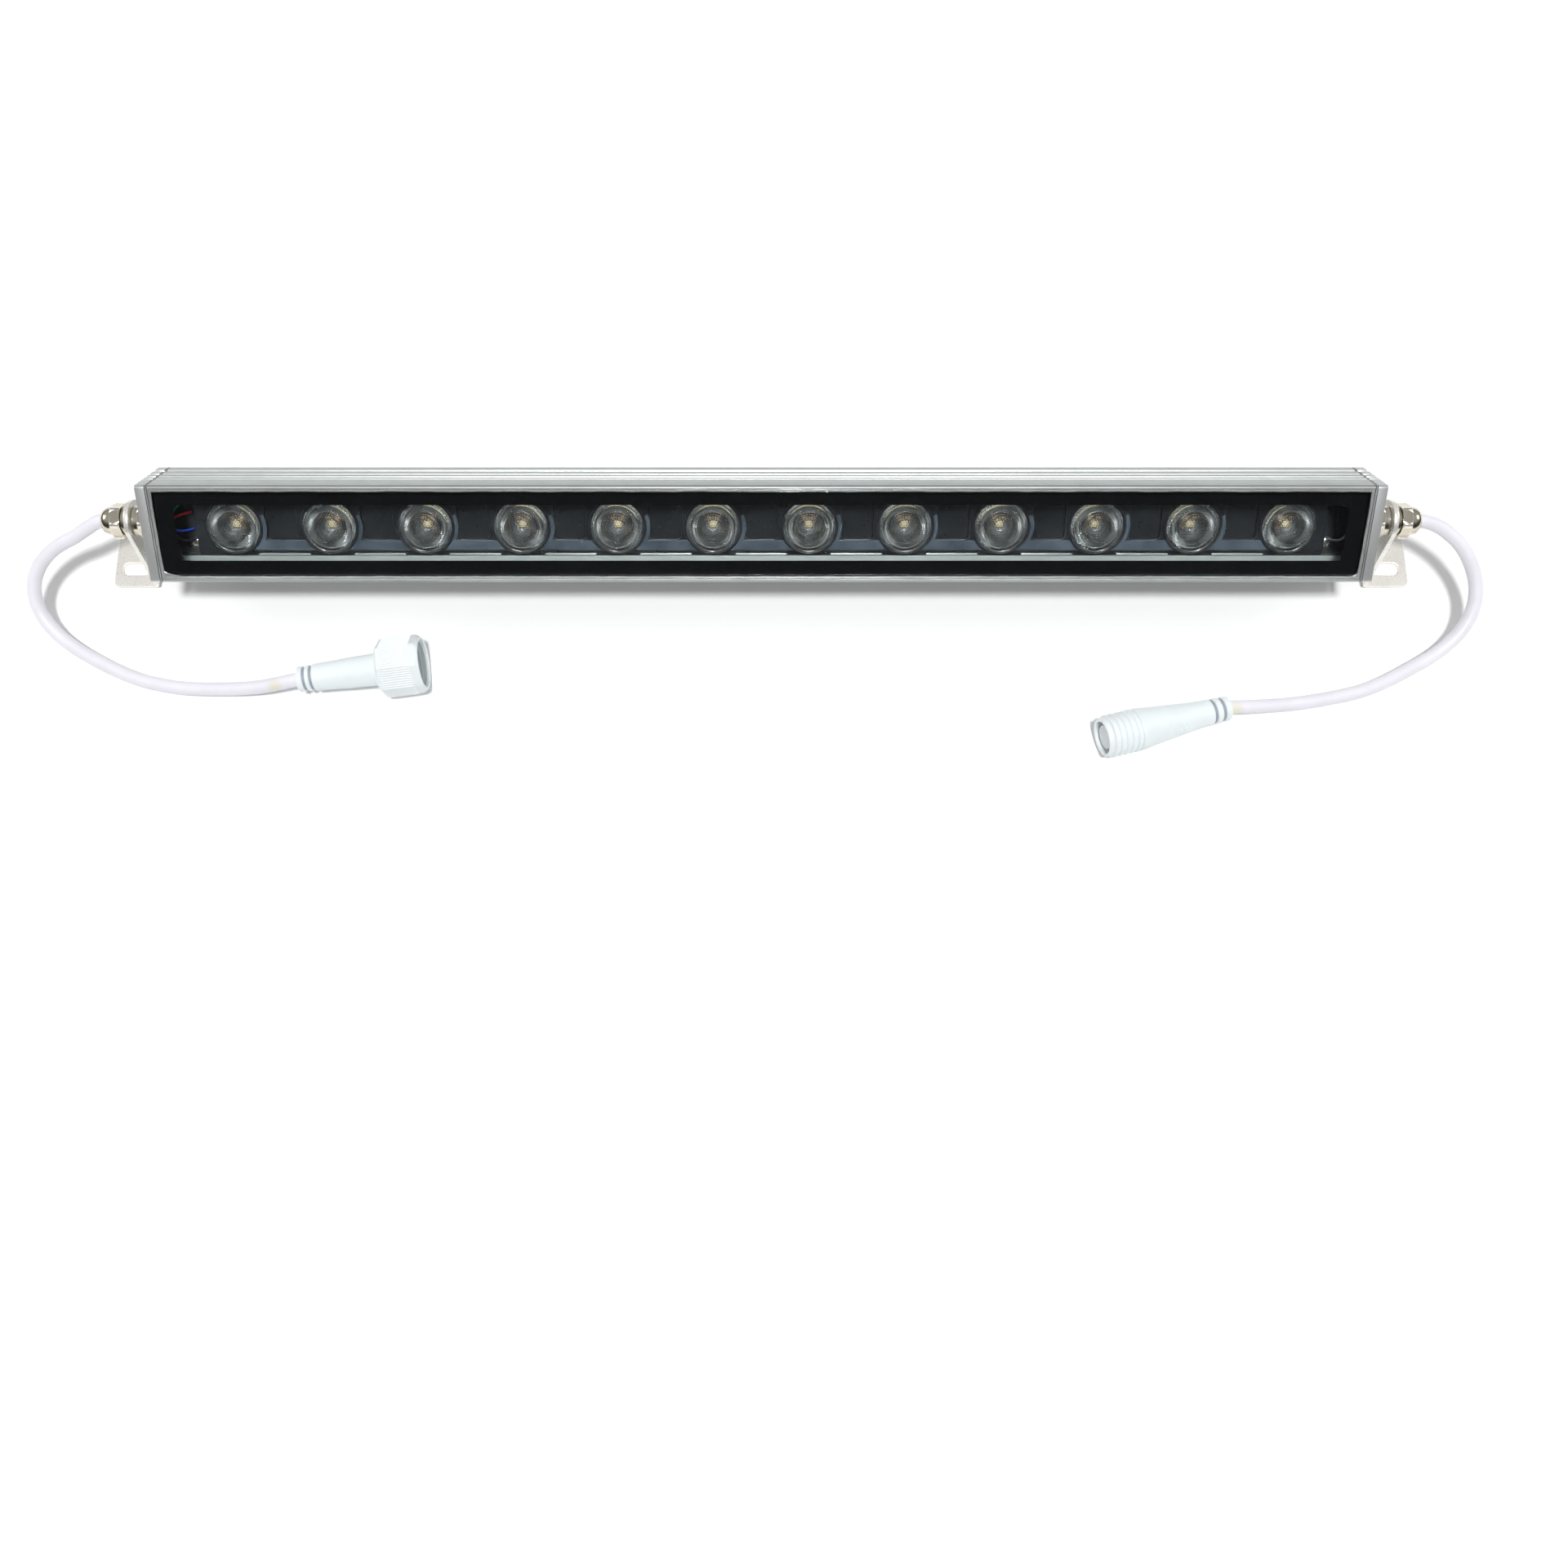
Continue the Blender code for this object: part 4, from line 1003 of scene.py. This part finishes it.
tree, ids, given, out = node_tree("a ring about the axis", {
    "Count": "Int", "Radius": "Float", "Along": "Float", "Finish": "Material"})
hoop = grow(tree, "GeometryNodeMeshCircle", Vertices=given.outputs["Count"],
            Radius=given.outputs["Radius"])
put = grow(tree, "GeometryNodeInstanceOnPoints", Instance=given.outputs["Geometry"],
           Points=about_axis(tree, given.outputs["Along"], hoop.outputs["Mesh"]))
end_tree(tree, given, out, put.outputs["Instances"])
pin_nickel = finish("contact nickel", (0.78, 0.76, 0.70), 1.0, 0.22, mottle=0.1)
bm = turned([(0.0, 0.0), (0.0, 0.00055), (0.0042, 0.00055), (0.0047, 0.00035), (0.0048, 0.0)],
            16, False)
pins = run_tree(solid("plug_pins", bm, pin_nickel), tree, ids, {
    "Count": 4, "Radius": 0.0026, "Along": 0.0428, "Finish": pin_nickel})
fit(pins, "housing", (), plug_frame)

NUT_AT = 0.0350
NUT_AF = 0.0115
NUT_FLATS = 8
NUT_RING = [(0.0, 0.0076), (0.0, 0.0101), (0.0004, 0.0105), (0.0014, NUT_AF, NUT_FLATS),
            (0.0172, NUT_AF, NUT_FLATS), (0.0180, NUT_AF, NUT_FLATS, 0.0119),
            (0.0187, 0.0114), (0.0189, 0.0112), (0.0189, 0.0103),
            (0.0187, 0.0101), (0.0180, 0.0101), (0.0176, 0.0098), (0.0172, 0.0101),
            (0.0160, 0.0101), (0.0156, 0.0098), (0.0152, 0.0101), (0.0140, 0.0101),
            (0.0136, 0.0098), (0.0132, 0.0101), (0.0025, 0.0101), (0.0025, 0.0076)]
nut_frame = plug_frame @ Matrix.Translation((NUT_AT, 0.0, 0.0))
nut = solid("coupling_ring", turned(NUT_RING, 96), shell_white)
fit(nut, "coupling_nut", ["coupling_nut"], nut_frame)

tree, ids, given, out = node_tree("ribs round the nut's flats", {
    "Flats": "Int", "Corner radius": "Float", "Ribs": "Int", "Along": "Float",
    "Finish": "Material"})
hoop = grow(tree, "GeometryNodeCurvePrimitiveCircle", Resolution=given.outputs["Flats"],
            Radius=given.outputs["Corner radius"])
turn_flat = grow(tree, "GeometryNodeTransform", Geometry=hoop.outputs["Curve"],
                 Rotation=(0.0, 0.0, math.pi / NUT_FLATS))
spaced = grow(tree, "GeometryNodeResampleCurve", Curve=turn_flat.outputs["Geometry"],
              Count=given.outputs["Ribs"])
put = grow(tree, "GeometryNodeInstanceOnPoints", Instance=given.outputs["Geometry"],
           Points=about_axis(tree, given.outputs["Along"], spaced.outputs["Curve"]))
end_tree(tree, given, out, put.outputs["Instances"])
bm = turned([(0.0, 0.0), (0.0001, 0.00022), (0.0005, 0.00030), (0.0125, 0.00030),
             (0.0129, 0.00022), (0.0130, 0.0)], 8, False)
ribs = run_tree(solid("nut_ribs", bm, shell_white), tree, ids, {
    "Flats": NUT_FLATS, "Corner radius": (NUT_AF - 0.00005) / math.cos(math.pi / NUT_FLATS),
    "Ribs": 72, "Along": 0.0022, "Finish": shell_white})
fit(ribs, "coupling_nut", (), nut_frame)


# ---- Socket ----------------------------------------------------------------------------------
# The mating end: a moulded socket with the same strain relief, a thread for the next bar's nut,
# and an oval patch of ribs on each side for the fingers.
SOCKET_SHAPE = [(0.0022, 0.0), (0.0022, 0.00335), (0.0, 0.00335), (0.0, 0.0049),
                (0.0004, 0.0053), (0.0025, 0.0054), (0.0028, 0.0051), (0.0029, 0.0046),
                (0.0041, 0.0046), (0.0042, 0.0052), (0.0045, 0.0055), (0.0065, 0.0055),
                (0.0068, 0.0052), (0.0069, 0.0047), (0.0081, 0.0047), (0.0082, 0.0054),
                (0.0085, 0.0057), (0.0124, 0.0057), (0.0180, 0.0063), (0.0240, 0.0070),
                (0.0300, 0.0077), (0.0360, 0.0083), (0.0390, 0.0089), (0.0405, 0.0091),
                (0.0422, 0.0091), (0.0425, 0.0090), (0.0427, 0.0083), (0.0433, 0.0083)]
for k in range(5):
    x = 0.0436 + 0.0026 * k
    SOCKET_SHAPE += [(x, 0.0088), (x + 0.0002, 0.0091), (x + 0.0009, 0.0091), (x + 0.0011, 0.0088),
                     (x + 0.0014, 0.0083), (x + 0.0023, 0.0083)]
SOCKET_SHAPE += [(0.0572, 0.0083), (0.0576, 0.0080), (0.0576, 0.0072), (0.0574, 0.0070),
                 (0.0495, 0.0070), (0.0495, 0.0)]
bm = shade_grooves(turned(SOCKET_SHAPE, 72, False), ((0.00285, 0.00415), (0.00685, 0.00815)))
socket = solid("moulded_socket", bm, shell_white)
fit(socket, "housing", ["socket_body"], socket_frame, 40.0)

tree, ids, given, out = node_tree("an oval patch of grip ribs on each side", {
    "Middle": "Float", "Rib": "Float", "Finish": "Material"})
GRIP_RIBS = 9
GRIP_ROLL = 128.0
GRIP_SPREAD = 24.0
hoop = grow(tree, "GeometryNodeCurvePrimitiveCircle", Resolution=6, Radius=given.outputs["Rib"])
sweeps = []
for k in range(GRIP_RIBS * 2):
    share = (k // 2 - (GRIP_RIBS - 1) / 2.0) / (GRIP_RIBS / 2.0)
    spread = math.radians(GRIP_SPREAD) * math.sqrt(1.0 - share * share)
    arc_line = grow(tree, "GeometryNodeCurveArc", Resolution=9, Radius=0.00705 + 0.0004 * share,
                    Start_Angle=math.radians(GRIP_ROLL + 180.0 * (k % 2)) - spread,
                    Sweep_Angle=2.0 * spread)
    along = reckon(tree, "ADD", given.outputs["Middle"], 0.0039 * share)
    sweep = grow(tree, "GeometryNodeCurveToMesh", Fill_Caps=True,
                 Curve=about_axis(tree, along, arc_line.outputs["Curve"]))
    feed(tree, sweep.inputs["Profile Curve"], hoop.outputs["Curve"])
    sweeps.append(sweep.outputs["Mesh"])
end_tree(tree, given, out, joined(tree, sweeps))
grips = run_tree(hang("socket_grips", bpy.data.meshes.new("socket_grips")), tree, ids, {
    "Middle": 0.0245, "Rib": 0.00030, "Finish": shell_white})
fit(grips, "housing", (), socket_frame, 60.0)
bm = turned([(0.0498, 0.0), (0.0498, 0.0066), (0.0508, 0.0066), (0.0510, 0.0064),
             (0.0510, 0.0052), (0.0563, 0.0052), (0.0565, 0.0050), (0.0565, 0.0)], 48, False)
fit(solid("socket_pin_block", bm, insert_white), "housing", ["socket_insert"],
    socket_frame)


# ---- Floor, light and camera -----------------------------------------------------------------
# A plain white table under a soft white dome that is dim near the horizon, with one distant lamp
# overhead and a panel at each side. The camera looks steeply down over the bar's front edge.
bpy.ops.mesh.primitive_plane_add(size=12.0, location=(0.0, 0.0, 0.0))
floor = bpy.context.object
floor.name = "table_top"
floor.data.materials.append(finish(
    "white table", (0.93, 0.935, 0.935), 0.0, 0.85, mottle=0.004, patch=3.0,
    Specular_IOR_Level=0.1, Emission_Color=(1.0, 1.0, 1.0, 1.0), Emission_Strength=0.06))
floor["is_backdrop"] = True

scene = bpy.context.scene
scene.view_settings.view_transform = "Standard"
scene.view_settings.look = "None"
world = bpy.data.worlds.new("soft dome")
scene.world = world
world.use_nodes = True
tree = world.node_tree
sky = tree.nodes["Background"]
face_to = tree.nodes.new("ShaderNodeVectorMath")
face_to.operation = "DOT_PRODUCT"
face_to.inputs[1].default_value = (0.0, 0.35, 0.937)
feed(tree, face_to.inputs[0], grow(tree, "ShaderNodeTexCoord").outputs["Generated"])
lift = grow(tree, "ShaderNodeMapRange", Value=face_to.outputs["Value"], From_Min=-1.0)
shade = grow(tree, "ShaderNodeValToRGB", Fac=lift.outputs["Result"])
low_sky, high_sky = shade.color_ramp.elements
low_sky.position, low_sky.color = 0.60, (0.10, 0.105, 0.11, 1.0)
high_sky.position, high_sky.color = 0.80, (1.0, 1.0, 1.0, 1.0)
by_eye = grow(tree, "ShaderNodeLightPath").outputs["Is Camera Ray"]
feed(tree, sky.inputs["Color"], mixed(tree, by_eye, shade.outputs["Color"], (2.8, 2.8, 2.8, 1.0)))
sky.inputs["Strength"].default_value = 0.38

key = bpy.data.lights.new("key_lamp", "SUN")
key.angle = math.radians(8.0)
key.energy = 2.30
holder = bpy.data.objects.new("key_lamp", key)
holder.rotation_euler = Vector((-0.03, 0.30, -1.22)).to_track_quat("-Z", "Y").to_euler()
scene.collection.objects.link(holder)
for name, place in (("left_panel", (-1.2, 0.2, 0.8)), ("right_panel", (1.2, 0.2, 0.8))):
    lamp = bpy.data.lights.new(name, "AREA")
    lamp.shape = "SQUARE"
    lamp.size = 0.5
    lamp.energy = 2.0
    holder = bpy.data.objects.new(name, lamp)
    holder.location = place
    holder.rotation_euler = (Vector((0, 0, 0)) - Vector(place)).to_track_quat("-Z", "Y").to_euler()
    scene.collection.objects.link(holder)

lens_cam = bpy.data.cameras.new("bench camera")
lens_cam.lens = 35.49
lens_cam.sensor_width = 36.0
lens_cam.shift_x = 0.0146
lens_cam.clip_start = 0.01
camera = bpy.data.objects.new("bench_camera", lens_cam)
camera.location = (0.0, -0.2832, 0.630)
camera.rotation_euler = (math.radians(16.0), 0.0, 0.0)
scene.collection.objects.link(camera)
scene.camera = camera


# ---- What the cords are, and the size --------------------------------------------------------
# Both cords are short tails that end in the bar's own connectors, so they are shown whole.
low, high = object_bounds()
